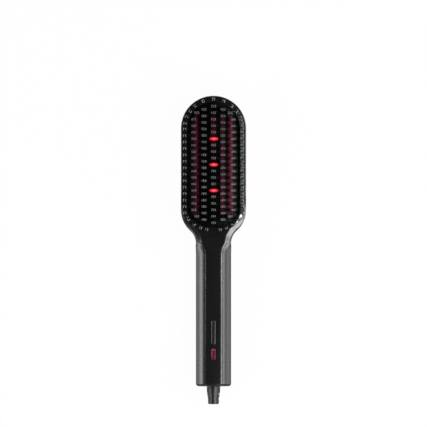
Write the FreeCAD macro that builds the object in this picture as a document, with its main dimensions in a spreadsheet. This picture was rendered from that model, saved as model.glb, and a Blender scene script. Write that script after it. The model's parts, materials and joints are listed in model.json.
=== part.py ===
"""Heated steam hair brush, in millimetres: it lies on its back, bristles up (+Z), head towards +Y.

The origin is the middle of the flat back, on the surface that the brush lies on.
"""
import FreeCAD, Part
import math
import os

import Sketcher

document = FreeCAD.newDocument("SteamBrush")
vec = FreeCAD.Vector

# ---------------------------------------------------------------------------------------------
# Driving dimensions
# ---------------------------------------------------------------------------------------------
SIZES = {
    # outline of the body, seen from the front
    "head_half": 32.6,  # half width of the head, and radius of its round end
    "head_centre": 121.7,  # centre of that round end, ahead of the origin
    "neck_start": 6.46,  # where the handle's straight sides start to flare
    "corner_radius": 28.0,  # round of the head's lower corners
    "neck_radius": 17.0,  # hollow round from the head into the handle
    "handle_half": 17.6,  # half width of the handle
    "handle_end": 136.6,  # end of the handle, behind the origin
    "handle_corner": 3.0,
    # side view
    "body_height": 30.0,
    "split_height": 15.0,  # parting line of the two shells
    "back_round": 12.0,
    "wall": 2.0,
    "lip_height": 1.6,
    "lip_gap": 0.05,
    # front of the handle and neck
    "strip_half": 6.8,  # half width of the flat strip along the handle
    "facet_slope": 30.0,  # fall of the handle's facets
    "facet_radius": 22.0,  # round where the facets run out at the neck
    "facet_start": 5.2,  # where that round starts, behind the origin
    "rim_round": 1.2,
    "shoulder_round": 5.0,  # the rim's round grows to this at the neck
    # opening for the comb field
    "rim_width": 1.6,
    "field_end": 17.4,  # lower end of the opening
    "field_end_extra": 2.6,  # the lower end's radius is larger than the head's by this
    "field_corner": 12.0,
    "latch_half": 4.2,
    "latch_length": 3.2,
    "latch_thick": 4.0,
    "fit_gap": 0.2,  # between pieces that drop into each other
    # guard frame
    "frame_drop": 1.2,  # from the body's front down to the frame
    "frame_thick": 6.0,
    "frame_width": 4.8,
    "ledge_inset": 0.8,
    "ledge_width": 4.2,
    "ledge_thick": 2.0,
    "post_long": 3.8,
    "post_wide": 3.5,
    "post_height": 9.6,
    "post_round": 1.1,
    "post_line": 2.35,  # from the opening's edge to the middle of the guard teeth
    # heated plate and its teeth
    "bed_radius": 66.0,
    "bed_rise": 0.5,  # crown of the plate above the body's front
    "row_margin": 4.3,  # from the plate's upper end to the first row of teeth
    "last_margin": 4.8,  # from the last row to the plate's lower end
    "column_margin": 9.4,  # from the plate's side to the outer column of teeth
    "inner_share": 0.479,  # place of the inner column, as a share of the outer one's
    "end_share": 0.847,  # the same, for the outer column's first and last tooth
    "tooth_long": 5.0,
    "tooth_wide": 2.6,
    "tooth_draft": 1.2,
    "tooth_height": 10.0,
    "tooth_root": 2.4,
    "tip_long": 5.4,
    "tip_wide": 3.3,
    "tip_cover": 2.6,  # length of tooth inside its tip
    "tip_height": 6.2,
    "tip_round": 1.1,
    "tip_groove": 0.55,
    "vent_radius": 0.7,
    "vent_spread": 4.0,
    # lamps
    "lamp_long": 9.4,
    "lamp_wide": 3.8,
    "lamp_rise": 3.0,
    "lamp_round": 1.5,
    "lamp_gap": 0.15,
    "led_side": 3.0,
    "led_height": 1.2,
    # heater
    "strip_inner": 9.8,
    "heater_gap": 1.2,  # from the strips to the ledge
    "heater_upper_reach": 3.3,  # from the head's round end's centre to the strips' end
    "tab_inset": 1.0,  # from the strips' middle in to their tabs
    "heater_thick": 3.0,
    "mica_thick": 0.5,
    "clamp_width": 8.0,
    "clamp_thick": 0.8,
    "clamp_lower": 72.0,
    "clamp_upper": 98.0,
    "clamp_overhang": 1.3,
    "plate_screw_radius": 1.0,
    "plate_screw_grip": 2.2,
    # steam parts
    "chamber_half": 8.0,
    "heater_lead": 13.0,  # from the chamber's lower end to the heater strips'
    "chamber_length": 27.0,
    "chamber_wall": 1.4,
    "gasket_thick": 0.8,
    "ear_width": 5.0,
    "tank_half": 12.0,
    "tank_start": 44.0,  # behind the origin
    "tank_length": 56.0,
    "tank_bottom": 5.0,
    "tank_height": 9.5,
    "tank_wall": 1.3,
    "filler_place": 10.0,  # behind the origin
    "filler_radius": 5.0,
    "filler_bore": 3.6,
    "plug_gap": 0.06,
    "pump_radius": 5.5,
    "suction_length": 6.0,  # from the tank to the pump
    "pump_lift": 1.5,
    "hose_radius": 2.2,
    "hose_bore": 1.2,
    "hose_run": 8.0,  # from the pump to where the hose turns up
    "inlet_place": 16.0,  # from the chamber's lower end to its inlet
    "hose_rise": 6.8,  # from the pump's axis up to the chamber
    "nipple_bore": 0.6,
    "nipple_length": 2.5,
    # controls
    "rocker_place": 82.2,  # middle of the long button, behind the origin
    "rocker_length": 24.8,
    "rocker_width": 4.4,
    "power_place": 104.6,
    "power_length": 12.0,
    "power_width": 4.2,
    "button_rise": 1.0,
    "button_gap": 0.3,
    "button_round": 1.0,
    "flange_width": 1.3,
    "flange_depth": 5.0,  # from the body's front down to the flange's underside
    "rocker_swing": 0.7,  # room above the rocker's flange
    "power_swing": 0.4,
    "foot_radius": 1.2,
    "power_travel": 0.6,
    "pin_radius": 0.75,
    "pin_gap": 0.05,
    "carrier_depth": 6.0,  # from the body's front down to the button frame
    "carrier_thick": 1.2,
    "carrier_half": 8.0,
    "board_thick": 1.2,
    "board_drop": 3.6,  # from the carrier down to the button board
    "switch_side": 6.0,
    "switch_height": 3.1,
    "spring_radius": 1.5,
    "spring_wire": 0.3,
    # electronics
    "main_board_bottom": 10.0,
    "main_board_thick": 1.6,
    "main_board_half": 12.0,
    "main_board_start": 110.0,
    "main_board_length": 54.0,
    "board_screw_grip": 3.6,
    "shield_bottom": 10.5,
    "shield_thick": 0.5,
    "shield_post": 13.2,  # from the middle to the posts that carry the heat shield
    "stake_radius": 0.9,
    "lamp_board_thick": 1.6,
    # fasteners
    "boss_radius": 3.4,
    "boss_meet": 12.0,  # height where front and rear bosses meet
    "stem_radius": 2.3,
    "screw_radius": 1.3,
    "screw_head": 2.5,
    "screw_head_thick": 1.6,
    "screw_depth": 3.0,  # of the recess for the head
    "screw_length": 13.0,
    "screw_gap": 0.03,
    "front_screw": 50.0,  # handle screws, behind the origin
    "rear_screw": 116.0,
    # cord swivel
    "swivel_radius": 6.75,
    "swivel_gap": 0.08,
    "swivel_flange": 9.0,
    "swivel_flange_thick": 2.0,
    "swivel_end": 121.0,  # inner end of the collar, behind the origin
    "cord_bore": 3.3,
    "collar_gap": 0.3,  # the collar's bore is wider than the sleeve's by this
    "spigot_wall": 1.0,
    "sleeve_length": 18.0,
    "sleeve_root": 4.6,  # length that stays as wide as the collar
    "sleeve_tip": 5.5,
    "sleeve_taper": 8.0,
    "sleeve_round": 1.0,
    "ring_radius": 6.2,
    "ring_width": 2.4,
    "ring_lower": 129.6,
    "ring_upper": 125.4,
    "barrel_radius": 5.0,
    "spigot_length": 8.0,
    "retainer_thick": 1.5,
    "rib_gap": 0.9,
    "rib_pitch": 4.4,
    "rib_start": 5.3,  # from the sleeve's end to its first groove
}

sheet = document.addObject("Spreadsheet::Sheet", "Sizes")
for row, (alias, amount) in enumerate(SIZES.items(), start=1):
    sheet.set(f"A{row}", alias)
    sheet.set(f"B{row}", str(amount))
    sheet.setAlias(f"B{row}", alias)
document.recompute()


class Dim:
    """A length that knows its value and the spreadsheet expression that gives it."""

    def __init__(self, value, text=None):
        self.value = float(value)
        self.text = text or repr(float(value))

    def combine(self, other, sign, value):
        return Dim(value, f"({self.text} {sign} {dim(other).text})")

    def __add__(self, other):
        return self.combine(other, "+", self.value + dim(other).value)

    def __sub__(self, other):
        return self.combine(other, "-", self.value - dim(other).value)

    def __mul__(self, other):
        return self.combine(other, "*", self.value * dim(other).value)

    def __truediv__(self, other):
        return self.combine(other, "/", self.value / dim(other).value)

    def __radd__(self, other):
        return dim(other) + self

    def __rsub__(self, other):
        return dim(other) - self

    def __rmul__(self, other):
        return dim(other) * self

    def __neg__(self):
        return dim(0) - self


def dim(amount):
    return amount if isinstance(amount, Dim) else Dim(amount)


def root(amount):
    return Dim(math.sqrt(amount.value), f"sqrt({amount.text})")


def tangent(degrees):
    degrees = dim(degrees)
    return Dim(math.tan(math.radians(degrees.value)), f"tan({degrees.text})")


def cosine(degrees):
    degrees = dim(degrees)
    return Dim(math.cos(math.radians(degrees.value)), f"cos({degrees.text})")


def sine(degrees):
    degrees = dim(degrees)
    return Dim(math.sin(math.radians(degrees.value)), f"sin({degrees.text})")


class SheetReader:
    def __getattr__(self, alias):
        return Dim(getattr(sheet, alias), f"Sizes.{alias}")


size = SheetReader()


# ---------------------------------------------------------------------------------------------
# Sketches and features
# ---------------------------------------------------------------------------------------------
class Path:
    """A closed outline of lines and arcs; its points are dimensions."""

    def __init__(self, x, y):
        self.points = [(dim(x), dim(y))]
        self.arcs = []

    def line(self, x, y):
        self.points.append((dim(x), dim(y)))
        self.arcs.append(None)
        return self

    def arc(self, centre_x, centre_y, x, y, turn=1):
        """turn is 1 for an arc that runs counterclockwise, -1 for one that runs clockwise."""
        self.points.append((dim(x), dim(y)))
        self.arcs.append((dim(centre_x), dim(centre_y), turn))
        return self

    def close(self):
        self.arcs.append(None)
        return self


def mirrored(path):
    """A path of lines turned over across X = 0."""
    flipped = Path(-path.points[0][0], path.points[0][1])
    for x, y in path.points[1:]:
        flipped.line(-x, y)
    return flipped.close()


def box_path(low_x, low_y, high_x, high_y):
    return Path(low_x, low_y).line(high_x, low_y).line(high_x, high_y).line(low_x, high_y).close()


def pill_path(x, y, half_x, half_y):
    """A slot shape: the longer half length runs along its own axis."""
    x, y, half_x, half_y = dim(x), dim(y), dim(half_x), dim(half_y)
    if half_y.value > half_x.value:
        low, high = y - half_y + half_x, y + half_y - half_x
        path = Path(x + half_x, low).line(x + half_x, high).arc(x, high, x - half_x, high)
        path.line(x - half_x, low)
        path.arcs.append((x, low, 1))
        return path
    low, high = x - half_x + half_y, x + half_x - half_y
    path = Path(low, y - half_y).line(high, y - half_y).arc(high, y, high, y + half_y)
    path.line(low, y + half_y)
    path.arcs.append((low, y, 1))
    return path


def add_line_or_arc(sketch, start, end, arc):
    first = vec(start[0].value, start[1].value, 0)
    last = vec(end[0].value, end[1].value, 0)
    if arc is None:
        sketch.addGeometry(Part.LineSegment(first, last), False)
        return
    centre = vec(arc[0].value, arc[1].value, 0)
    angles = [math.atan2(p.y - centre.y, p.x - centre.x) for p in (first, last)]
    if arc[2] < 0:
        angles.reverse()
    circle = Part.Circle(centre, vec(0, 0, 1), (first - centre).Length)
    sketch.addGeometry(Part.ArcOfCircle(circle, *angles), False)


def fix(sketch, kind, geometry, point, place):
    index = sketch.addConstraint(Sketcher.Constraint(kind, -1, 1, geometry, point, place.value))
    sketch.setExpression(f"Constraints[{index}]", place.text)


def draw_path(sketch, path):
    count = len(path.arcs)
    points = [path.points[i] for i in range(count)]
    base = sketch.GeometryCount
    ends = []
    for i in range(count):
        arc = path.arcs[i]
        add_line_or_arc(sketch, points[i], points[(i + 1) % count], arc)
        ends.append((2, 1) if arc is not None and arc[2] < 0 else (1, 2))
    for i in range(count):
        after = (i + 1) % count
        link = ("Coincident", base + i, ends[i][1], base + after, ends[after][0])
        sketch.addConstraint(Sketcher.Constraint(*link))
    for i in range(count):
        start, end, arc = points[i], points[(i + 1) % count], path.arcs[i]
        fix(sketch, "DistanceX", base + i, ends[i][0], start[0])
        fix(sketch, "DistanceY", base + i, ends[i][0], start[1])
        if arc is None:
            continue
        across = abs(end[0].value - start[0].value) > abs(end[1].value - start[1].value)
        if across:
            fix(sketch, "DistanceY", base + i, 3, arc[1])
        else:
            fix(sketch, "DistanceX", base + i, 3, arc[0])


def draw_circle(sketch, x, y, radius):
    x, y, radius = dim(x), dim(y), dim(radius)
    index = sketch.addGeometry(Part.Circle(vec(x.value, y.value, 0), vec(0, 0, 1), radius.value), False)
    limit = sketch.addConstraint(Sketcher.Constraint("Radius", index, radius.value))
    sketch.setExpression(f"Constraints[{limit}]", radius.text)
    fix(sketch, "DistanceX", index, 3, x)
    fix(sketch, "DistanceY", index, 3, y)


def make_sketch(body, outlines, offset, role):
    """outlines holds Paths and (x, y, radius) circles; offset is along the plane's normal."""
    sketch = body.newObject("Sketcher::SketchObject", f"{body.Label}_sketch")
    plane = next(f for f in body.Origin.OriginFeatures if f.Role == role)
    sketch.AttachmentSupport = [(plane, "")]
    sketch.MapMode = "FlatFace"
    sketch.setExpression("AttachmentOffset.Base.z", dim(offset).text)
    for outline in outlines:
        if isinstance(outline, Path):
            draw_path(sketch, outline)
        else:
            draw_circle(sketch, *outline)
    return sketch


def new_body(label):
    body = document.addObject("PartDesign::Body", label)
    body.Label = label
    return body


def feature(body, kind, sketch, length, taper=None, reverse=False):
    made = body.newObject(kind, f"{body.Label}_{kind.split('::')[1]}")
    made.Profile = sketch
    made.setExpression("Length", dim(length).text)
    made.Reversed = reverse
    if taper is not None:
        made.setExpression("TaperAngle", dim(taper).text)
    return made


def pad(body, outlines, bottom, height, taper=None, reverse=False):
    """Adds a plate from bottom upwards, or downwards if reverse."""
    if isinstance(body, str):
        body = new_body(body)
    sketch = make_sketch(body, outlines, bottom, "XY_Plane")
    feature(body, "PartDesign::Pad", sketch, height, taper, reverse)
    return body


def pad_along_y(body, outlines, front, length):
    """Extrudes an outline in X and Z from the plane Y = front towards -Y."""
    if isinstance(body, str):
        body = new_body(body)
    sketch = make_sketch(body, outlines, -dim(front), "XZ_Plane")
    feature(body, "PartDesign::Pad", sketch, length)
    return body


def turn(label, outline, axis_height):
    """Turns an outline (radius, Y) about the line X = 0, Z = axis_height."""
    body = new_body(label)
    sketch = make_sketch(body, [outline], axis_height, "XY_Plane")
    made = body.newObject("PartDesign::Revolution", f"{label}_turn")
    made.Profile = sketch
    made.ReferenceAxis = (sketch, ["V_Axis"])
    made.Angle = 360
    return body


def round_edges(body, radius, wanted):
    """Fillets the edges of the body's tip that wanted(edge) picks."""
    document.recompute()
    base = body.Tip
    names = [f"Edge{i}" for i, edge in enumerate(base.Shape.Edges, start=1) if wanted(edge)]
    made = body.newObject("PartDesign::Fillet", f"{body.Label}_round")
    made.Base = (base, names)
    made.setExpression("Radius", dim(radius).text)
    return body


def level_edge(height):
    """Picks the edges that lie at one height."""
    def wanted(edge):
        box = edge.BoundBox
        return abs(box.ZMin - height.value) < 1e-4 and abs(box.ZMax - height.value) < 1e-4
    return wanted


def boolean(kind, label, *pieces):
    made = document.addObject(kind, label)
    made.Label = label
    if kind == "Part::Cut":
        made.Base, made.Tool = pieces
    elif kind == "Part::Compound":
        made.Links = list(pieces)
    else:
        made.Shapes = list(pieces)
    return made


def fuse(label, *pieces):
    return boolean("Part::MultiFuse", label, *pieces)


def common(label, *pieces):
    return boolean("Part::MultiCommon", label, *pieces)


def cut(label, base, *tools):
    tool = tools[0] if len(tools) == 1 else fuse(f"{label}_tools", *tools)
    return boolean("Part::Cut", label, base, tool)


def group(label, *pieces):
    return boolean("Part::Compound", label, *pieces)


def solid(kind, label, place, turned=(0, 0, 0), **lengths):
    """A Part primitive whose lengths and place are bound to the sheet; turned is yaw, pitch, roll."""
    made = document.addObject(kind, label)
    made.Label = label
    for name, length in lengths.items():
        made.setExpression(name, dim(length).text)
    made.Placement = FreeCAD.Placement(vec(0, 0, 0), FreeCAD.Rotation(*turned))
    for axis, amount in zip("xyz", place):
        made.setExpression(f"Placement.Base.{axis}", dim(amount).text)
    return made


def block(label, low, high):
    low = [dim(a) for a in low]
    high = [dim(a) for a in high]
    return solid(
        "Part::Box", label, low, Length=high[0] - low[0], Width=high[1] - low[1],
        Height=high[2] - low[2],
    )


def rod_up(label, x, y, bottom, top, radius):
    return solid("Part::Cylinder", label, (x, y, bottom), Radius=radius, Height=dim(top) - bottom)


def rod_along_y(label, x, start, end, z, radius):
    return solid(
        "Part::Cylinder", label, (x, start, z), (0, 0, -90), Radius=radius, Height=dim(end) - start,
    )


def copies(label, shape, placements):
    """One node of separate solids: the same shape at each placement."""
    made = document.addObject("Part::Feature", label)
    made.Label = label
    placed = []
    for placement in placements:
        copy = shape.copy()
        copy.transformShape(placement.toMatrix(), True)
        placed.append(copy)
    made.Shape = Part.makeCompound(placed)
    return made


def lead(label, route, radius, mirrored=True):
    """A wire along straight runs joined by tangent arcs, and its mirror image across X = 0."""
    route = [vec(*(dim(a).value for a in point)) for point in route]
    radius = dim(radius).value
    edges = []
    last = route[0]
    for before, corner, after in zip(route, route[1:], route[2:]):
        back = (before - corner).normalize()
        ahead = (after - corner).normalize()
        half_turn = (math.pi - back.getAngle(ahead)) / 2
        shorter = min((before - corner).Length, (after - corner).Length)
        reach = 0.45 * shorter
        bend = reach / math.tan(half_turn)
        middle = (back + ahead).normalize()
        centre = corner + middle * (bend / math.cos(half_turn))
        start, end = corner + back * reach, corner + ahead * reach
        edges.append(Part.LineSegment(last, start).toShape())
        edges.append(Part.Arc(start, centre - middle * bend, end).toShape())
        last = end
    edges.append(Part.LineSegment(last, route[-1]).toShape())
    section = Part.Wire(Part.Circle(route[0], route[1] - route[0], radius).toShape())
    shape = Part.Wire(edges).makePipeShell([section], True, False)
    pieces = [shape]
    if mirrored:
        pieces.append(shape.mirror(vec(0, 0, 0), vec(1, 0, 0)))
    made = document.addObject("Part::Feature", label)
    made.Label = label
    made.Shape = Part.makeCompound(pieces)
    return made


# ---------------------------------------------------------------------------------------------
# Outlines
# ---------------------------------------------------------------------------------------------
def capsule_top(path, half):
    """Ends a right-hand run with the head's round end and mirrors the rest."""
    points, arcs = path.points, path.arcs
    whole = Path(*points[0])
    whole.points = list(points)
    whole.arcs = list(arcs)
    whole.arc(0, size.head_centre, -half, size.head_centre)
    for (x, y), arc in zip(reversed(points[:-1]), reversed(arcs)):
        if arc is None:
            whole.line(-x, y)
        else:
            whole.arc(-arc[0], arc[1], -x, y, arc[2])
    return whole.close()


def shoulder():
    """How the head's lower corner and the hollow round below it meet.

    Returns the slope across and along of the line between their centres, and where the head's
    straight side ends.
    """
    reach = size.corner_radius + size.neck_radius
    across = (size.handle_half + size.neck_radius + size.corner_radius - size.head_half) / reach
    along = root(1 - across * across)
    return across, along, size.neck_start + reach * along


def body_outline(inset):
    """The body's outline from the front, moved in by inset."""
    convex_x = size.head_half - size.corner_radius
    hollow_x = size.handle_half + size.neck_radius
    across, along, side_end = shoulder()
    convex, hollow = size.corner_radius - inset, size.neck_radius + inset
    handle, head = size.handle_half - inset, size.head_half - inset
    path = Path(handle, inset - size.handle_end)
    path.line(handle, size.neck_start)
    path.arc(hollow_x, size.neck_start, convex_x + convex * across, side_end - convex * along, -1)
    path.arc(convex_x, side_end, head, side_end)
    path.line(head, size.head_centre)
    return capsule_top(path, head)


def field_outline(inset):
    """The comb field's outline, moved in by inset from the opening in the front shell."""
    side = size.head_half - size.rim_width - inset
    end_radius, corner = field_end_radius - inset, size.field_corner - inset
    centre_y = size.field_end + field_end_radius
    reach = field_end_radius - size.field_corner
    corner_x = size.head_half - size.rim_width - size.field_corner
    drop = root(reach * reach - corner_x * corner_x)
    corner_y = centre_y - drop
    touch_x, touch_y = corner_x * end_radius / reach, centre_y - drop * end_radius / reach
    path = Path(touch_x, touch_y).arc(corner_x, corner_y, side, corner_y)
    path.line(side, size.head_centre).arc(0, size.head_centre, -side, size.head_centre)
    path.line(-side, corner_y).arc(-corner_x, corner_y, -touch_x, touch_y)
    path.arcs.append((dim(0), centre_y, 1))
    return path


def facet_cutter(label, inset):
    """What the handle's two facets take off: a wedge and, at the neck, a cone on each side."""
    top = size.body_height - inset
    slope = tangent(size.facet_slope)
    strip = size.strip_half - inset * tangent(size.facet_slope / 2)
    radius = size.facet_radius + size.strip_half - strip
    reach = radius * slope
    start = -size.facet_start
    wedge = Path(strip, top + reach).line(strip, top).line(strip + radius, top - reach)
    wedge.line(strip + radius, top + reach).close()
    length = size.handle_end + size.body_height
    pieces = [pad_along_y(f"{label}_wedge", [wedge], start, length)]
    pieces.append(pad_along_y(f"{label}_left_wedge", [mirrored(wedge)], start, length))
    for side in (1, -1):
        place = ((strip + radius) * side, start, top - reach)
        lengths = {"Radius1": 0, "Radius2": radius * 2, "Height": reach * 2}
        pieces.append(solid("Part::Cone", f"{label}_cone_{side}", place, **lengths))
    return fuse(label, *pieces)


def end_edge(edge, inset):
    """Picks the edges of the flat end of the handle."""
    box = edge.BoundBox
    end = inset.value - size.handle_end.value
    return max(abs(box.YMin - end), abs(box.YMax - end)) < 1e-3


def rounded(label, base, radii):
    """A Part fillet; radii(edge) gives an edge's radius at its two ends, or None to leave it."""
    document.recompute()
    made = document.addObject("Part::Fillet", label)
    made.Label = label
    made.Base = base
    picked = []
    for index, edge in enumerate(base.Shape.Edges, start=1):
        pair = radii(edge)
        if pair is not None:
            picked.append((index, *pair))
    made.Edges = picked
    return made


def body_form(label, inset, finished=False):
    """The body's whole form, moved in by inset all round; the finished one has its outer rounds."""
    inset = dim(inset)
    top = size.body_height - inset
    form = pad(f"{label}_outline", [body_outline(inset)], inset, top - inset)
    at_bottom = level_edge(inset)
    round_edges(form, size.back_round - inset, lambda edge: at_bottom(edge) and not end_edge(edge, inset))
    if finished:
        form = rounded(f"{label}_shoulder", form, shoulder_radii)
    form = cut(label, form, facet_cutter(f"{label}_facets", inset))
    if finished:
        corner = size.handle_corner.value
        form = rounded(
            f"{label}_end", form, lambda edge: (corner, corner) if end_edge(edge, dim(0)) else None,
        )
    return form


def shoulder_radii(edge):
    """The rim's round: small along the head, growing round the lower corners into the neck."""
    if not level_edge(size.body_height)(edge) or end_edge(edge, dim(0)):
        return None
    side_end = shoulder()[2].value
    ends = (edge.valueAt(edge.FirstParameter), edge.valueAt(edge.LastParameter))
    rounds = [size.rim_round if point.y > side_end - 0.01 else size.shoulder_round for point in ends]
    return [radius.value for radius in rounds]


nodes = []


def node(piece):
    nodes.append(piece)
    return piece


# ---------------------------------------------------------------------------------------------
# Heights and places that several pieces share
# ---------------------------------------------------------------------------------------------
axis_height = size.split_height
post_root = size.wall * 0.8  # posts and ribs start inside the rear wall
LAST_ROW = 18  # rows of teeth are numbered from 0 at the head's end
LAMP_ROWS = (5, 9, 13)
frame_top = size.body_height - size.frame_drop
frame_bottom = frame_top - size.frame_thick
plate_bottom = frame_bottom
bed_height = size.body_height + size.bed_rise
ledge_bottom = plate_bottom - size.ledge_thick
field_half = size.head_half - size.rim_width
field_end_radius = size.head_half + size.field_end_extra
field_centre = size.field_end + field_end_radius
corner_reach = field_end_radius - size.field_corner
corner_x = field_half - size.field_corner
corner_y = field_centre - root(corner_reach * corner_reach - corner_x * corner_x)
plate_half = field_half - size.frame_width - size.fit_gap
ledge_reach = field_end_radius - size.fit_gap - size.frame_width - size.ledge_width
chamber_side = root(ledge_reach * ledge_reach - size.chamber_half * size.chamber_half)
chamber_start = field_centre - chamber_side + size.fit_gap
heater_start = chamber_start + size.heater_lead
heater_end = size.head_centre + size.heater_upper_reach
first_row = size.head_centre + plate_half - size.row_margin
last_row = size.field_end + size.frame_width + size.fit_gap + size.last_margin
row_pitch = (first_row - last_row) / LAST_ROW
bed_axis = bed_height - size.bed_radius
lamp_board_bottom = size.shield_bottom + size.shield_thick + size.board_thick
lamp_board_top = lamp_board_bottom + size.lamp_board_thick
carrier_top = size.body_height - size.carrier_depth
carrier_bottom = carrier_top - size.carrier_thick
flange_bottom = size.body_height - size.flange_depth
button_board_top = carrier_bottom - size.board_drop
main_board_top = size.main_board_bottom + size.main_board_thick
front_wall = size.body_height - size.wall
end_wall = size.wall - size.handle_end
tank_end = size.tank_length - size.tank_start
pump_start = tank_end + size.suction_length
hose_turn = chamber_start + size.inlet_place
pump_end = hose_turn - size.hose_run
pump_axis = size.wall + size.pump_lift + size.pump_radius
chamber_bottom = pump_axis + size.hose_rise
collar_bore = size.cord_bore + size.collar_gap
spigot_radius = collar_bore + size.spigot_wall
switch_spread = size.rocker_length / 2 - size.rocker_width * 0.8
GUARD_TOP_ANGLES = (21, 39.5, 53.5, 67.5, 81)  # of the guard teeth round the head's end
GUARD_END_SHARES = (0.218, 0.418, 0.646, 0.882)  # their places along half of the lower arc
GUARD_CORNER_SHARE = 0.343  # place of one more along the corner


def head_screws():
    """Places of the head's four screws, on circles about the ends of the comb field."""
    upper = field_half - size.frame_width - size.ledge_width
    lower = field_end_radius - size.frame_width - size.ledge_width / 2
    places = []
    for side in (-1, 1):
        places.append((upper * sine(50) * side, size.head_centre + upper * cosine(50)))
        places.append((lower * sine(35) * side, field_centre - lower * cosine(35)))
    return places


def handle_screws():
    return [(dim(0), -size.front_screw), (dim(0), -size.rear_screw)]


def lamp_places():
    return [first_row - row_pitch * lamp_row for lamp_row in LAMP_ROWS]


def plate_screw_places():
    across = field_half - size.frame_width - size.ledge_width / 2
    return [(across * side, y) for side in (-1, 1) for y in (size.clamp_lower, size.clamp_upper)]


# ---------------------------------------------------------------------------------------------
# Shells
# ---------------------------------------------------------------------------------------------
def slab(label, bottom, top):
    """A block wider than the body, to take a slice of it."""
    wide, long = size.head_half * 2, size.handle_end * 2
    return block(label, (-wide, -long, bottom), (wide, long, top))


def shells():
    outer = body_form("outer_form", 0, finished=True)
    inner = body_form("inner_form", size.wall)
    tongue = body_form("tongue_form", size.wall / 2 + size.lip_gap)
    groove = body_form("groove_form", size.wall / 2)
    split = size.split_height
    upper = common("upper_half", outer, slab("upper_slab", split, size.body_height * 2))
    lower = common("lower_half", outer, slab("lower_slab", -size.wall, split))
    lip = common("front_lip", tongue, slab("lip_slab", split - size.lip_height, split + size.lip_gap))
    room = common("rear_lip", groove, slab("room_slab", split - size.lip_height - size.lip_gap, split))

    retainer_y = end_wall + size.swivel_flange_thick + size.swivel_gap * 2
    reach = size.handle_half - size.wall * 2
    barrel_hole = size.barrel_radius + size.fit_gap

    front = fuse("front_with_lip", upper, lip)
    front = cut("front_hollow", front, inner)
    inside = common(
        "front_retainer", inner,
        block(
            "front_retainer_wall", (-reach, retainer_y, split),
            (reach, retainer_y + size.retainer_thick, front_wall),
        ),
    )
    additions = [inside]
    for i, (x, y) in enumerate(handle_screws()):
        additions.append(rod_up(
            f"front_boss_{i}", x, y, carrier_top, front_wall + size.wall / 4, size.boss_radius,
        ))
        additions.append(rod_up(f"front_stem_{i}", x, y, size.boss_meet, carrier_top, size.stem_radius))
    front = fuse("front_with_bosses", front, *additions)
    tools = [pad("field_cut", [field_outline(dim(0))], frame_bottom, size.body_height - frame_bottom)]
    tools.append(block(
        "latch_cut", (-size.latch_half, size.field_end - size.latch_length, frame_top - size.latch_thick),
        (size.latch_half, size.field_end + size.wall, size.body_height),
    ))
    gap = size.button_gap
    for name, place, length, width in (
        ("rocker_cut", size.rocker_place, size.rocker_length, size.rocker_width),
        ("power_cut", size.power_place, size.power_length, size.power_width),
    ):
        slot = pill_path(0, -place, width / 2 + gap, length / 2 + gap)
        tools.append(pad(name, [slot], front_wall - size.wall / 4, size.wall * 2))
    for i, (x, y) in enumerate(handle_screws()):
        top = size.screw_depth + size.screw_length + size.screw_gap
        tools.append(rod_up(
            f"front_pilot_{i}", x, y, size.boss_meet, top, size.screw_radius + size.screw_gap,
        ))
    tools.append(swivel_bore("front_swivel_bore", barrel_hole, retainer_y))
    node(cut("front_shell", front, *tools))

    rear = cut("rear_hollow", lower, inner, room)
    wall_block = block(
        "rear_retainer_wall", (-reach, retainer_y, size.wall),
        (reach, retainer_y + size.retainer_thick, split),
    )
    additions = [common("rear_retainer", inner, wall_block)]
    for i, (x, y) in enumerate(head_screws() + handle_screws()):
        additions.append(rod_up(f"rear_boss_{i}", x, y, size.wall, size.boss_meet, size.boss_radius))
    for i, (x, y) in enumerate(board_screw_places()):
        additions.append(rod_up(f"board_post_{i}", x, y, post_root, size.main_board_bottom, size.wall))
    for i, (x, y) in enumerate(shield_post_places()):
        stake_top = size.shield_bottom + size.shield_thick * 2
        additions.append(rod_up(f"shield_post_{i}", x, y, post_root, size.shield_bottom, size.wall))
        additions.append(rod_up(
            f"shield_stake_{i}", x, y, size.shield_bottom, stake_top, size.stake_radius,
        ))
    half = size.tank_half / 2
    for i, y in enumerate((
        size.tank_length * 0.15 - size.tank_start, size.tank_length * 0.9 - size.tank_start,
    )):
        additions.append(block(
            f"tank_rib_{i}", (-half, y, post_root), (half, y + size.wall, size.tank_bottom),
        ))
    pump_middle = (pump_start + pump_end) / 2
    additions.append(block(
        "pump_rib", (-size.pump_radius / 2, pump_middle, post_root),
        (size.pump_radius / 2, pump_middle + size.wall, size.wall + size.pump_lift),
    ))
    rear = fuse("rear_with_bosses", rear, *additions)
    tools = []
    for i, (x, y) in enumerate(head_screws() + handle_screws()):
        recess, hole = size.screw_head + size.fit_gap, size.screw_radius + size.fit_gap
        tools.append(rod_up(f"rear_recess_{i}", x, y, -size.wall, size.screw_depth, recess))
        tools.append(rod_up(f"rear_hole_{i}", x, y, size.wall, size.boss_meet + size.wall, hole))
    for i, (x, y) in enumerate(board_screw_places()):
        pilot_bottom = size.main_board_bottom - size.board_screw_grip - size.fit_gap
        pilot = size.plate_screw_radius + size.screw_gap
        tools.append(rod_up(f"board_pilot_{i}", x, y, pilot_bottom, size.main_board_bottom, pilot))
    spout = size.filler_radius + size.fit_gap
    tools.append(rod_up("filler_cut", 0, -size.filler_place, -size.wall, size.tank_bottom, spout))
    tools.append(swivel_bore("rear_swivel_bore", barrel_hole, retainer_y))
    node(cut("rear_shell", rear, *tools))


def board_screw_places():
    rear = -size.main_board_start
    rows = (rear + size.wall, rear + size.main_board_length - size.wall * 3.5)
    return [(size.main_board_half * 0.8 * side, y) for side in (-1, 1) for y in rows]


def shield_post_places():
    rows = (heater_start + size.clamp_width, heater_end - size.clamp_width)
    return [(size.shield_post * side, y) for side in (-1, 1) for y in rows]


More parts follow.
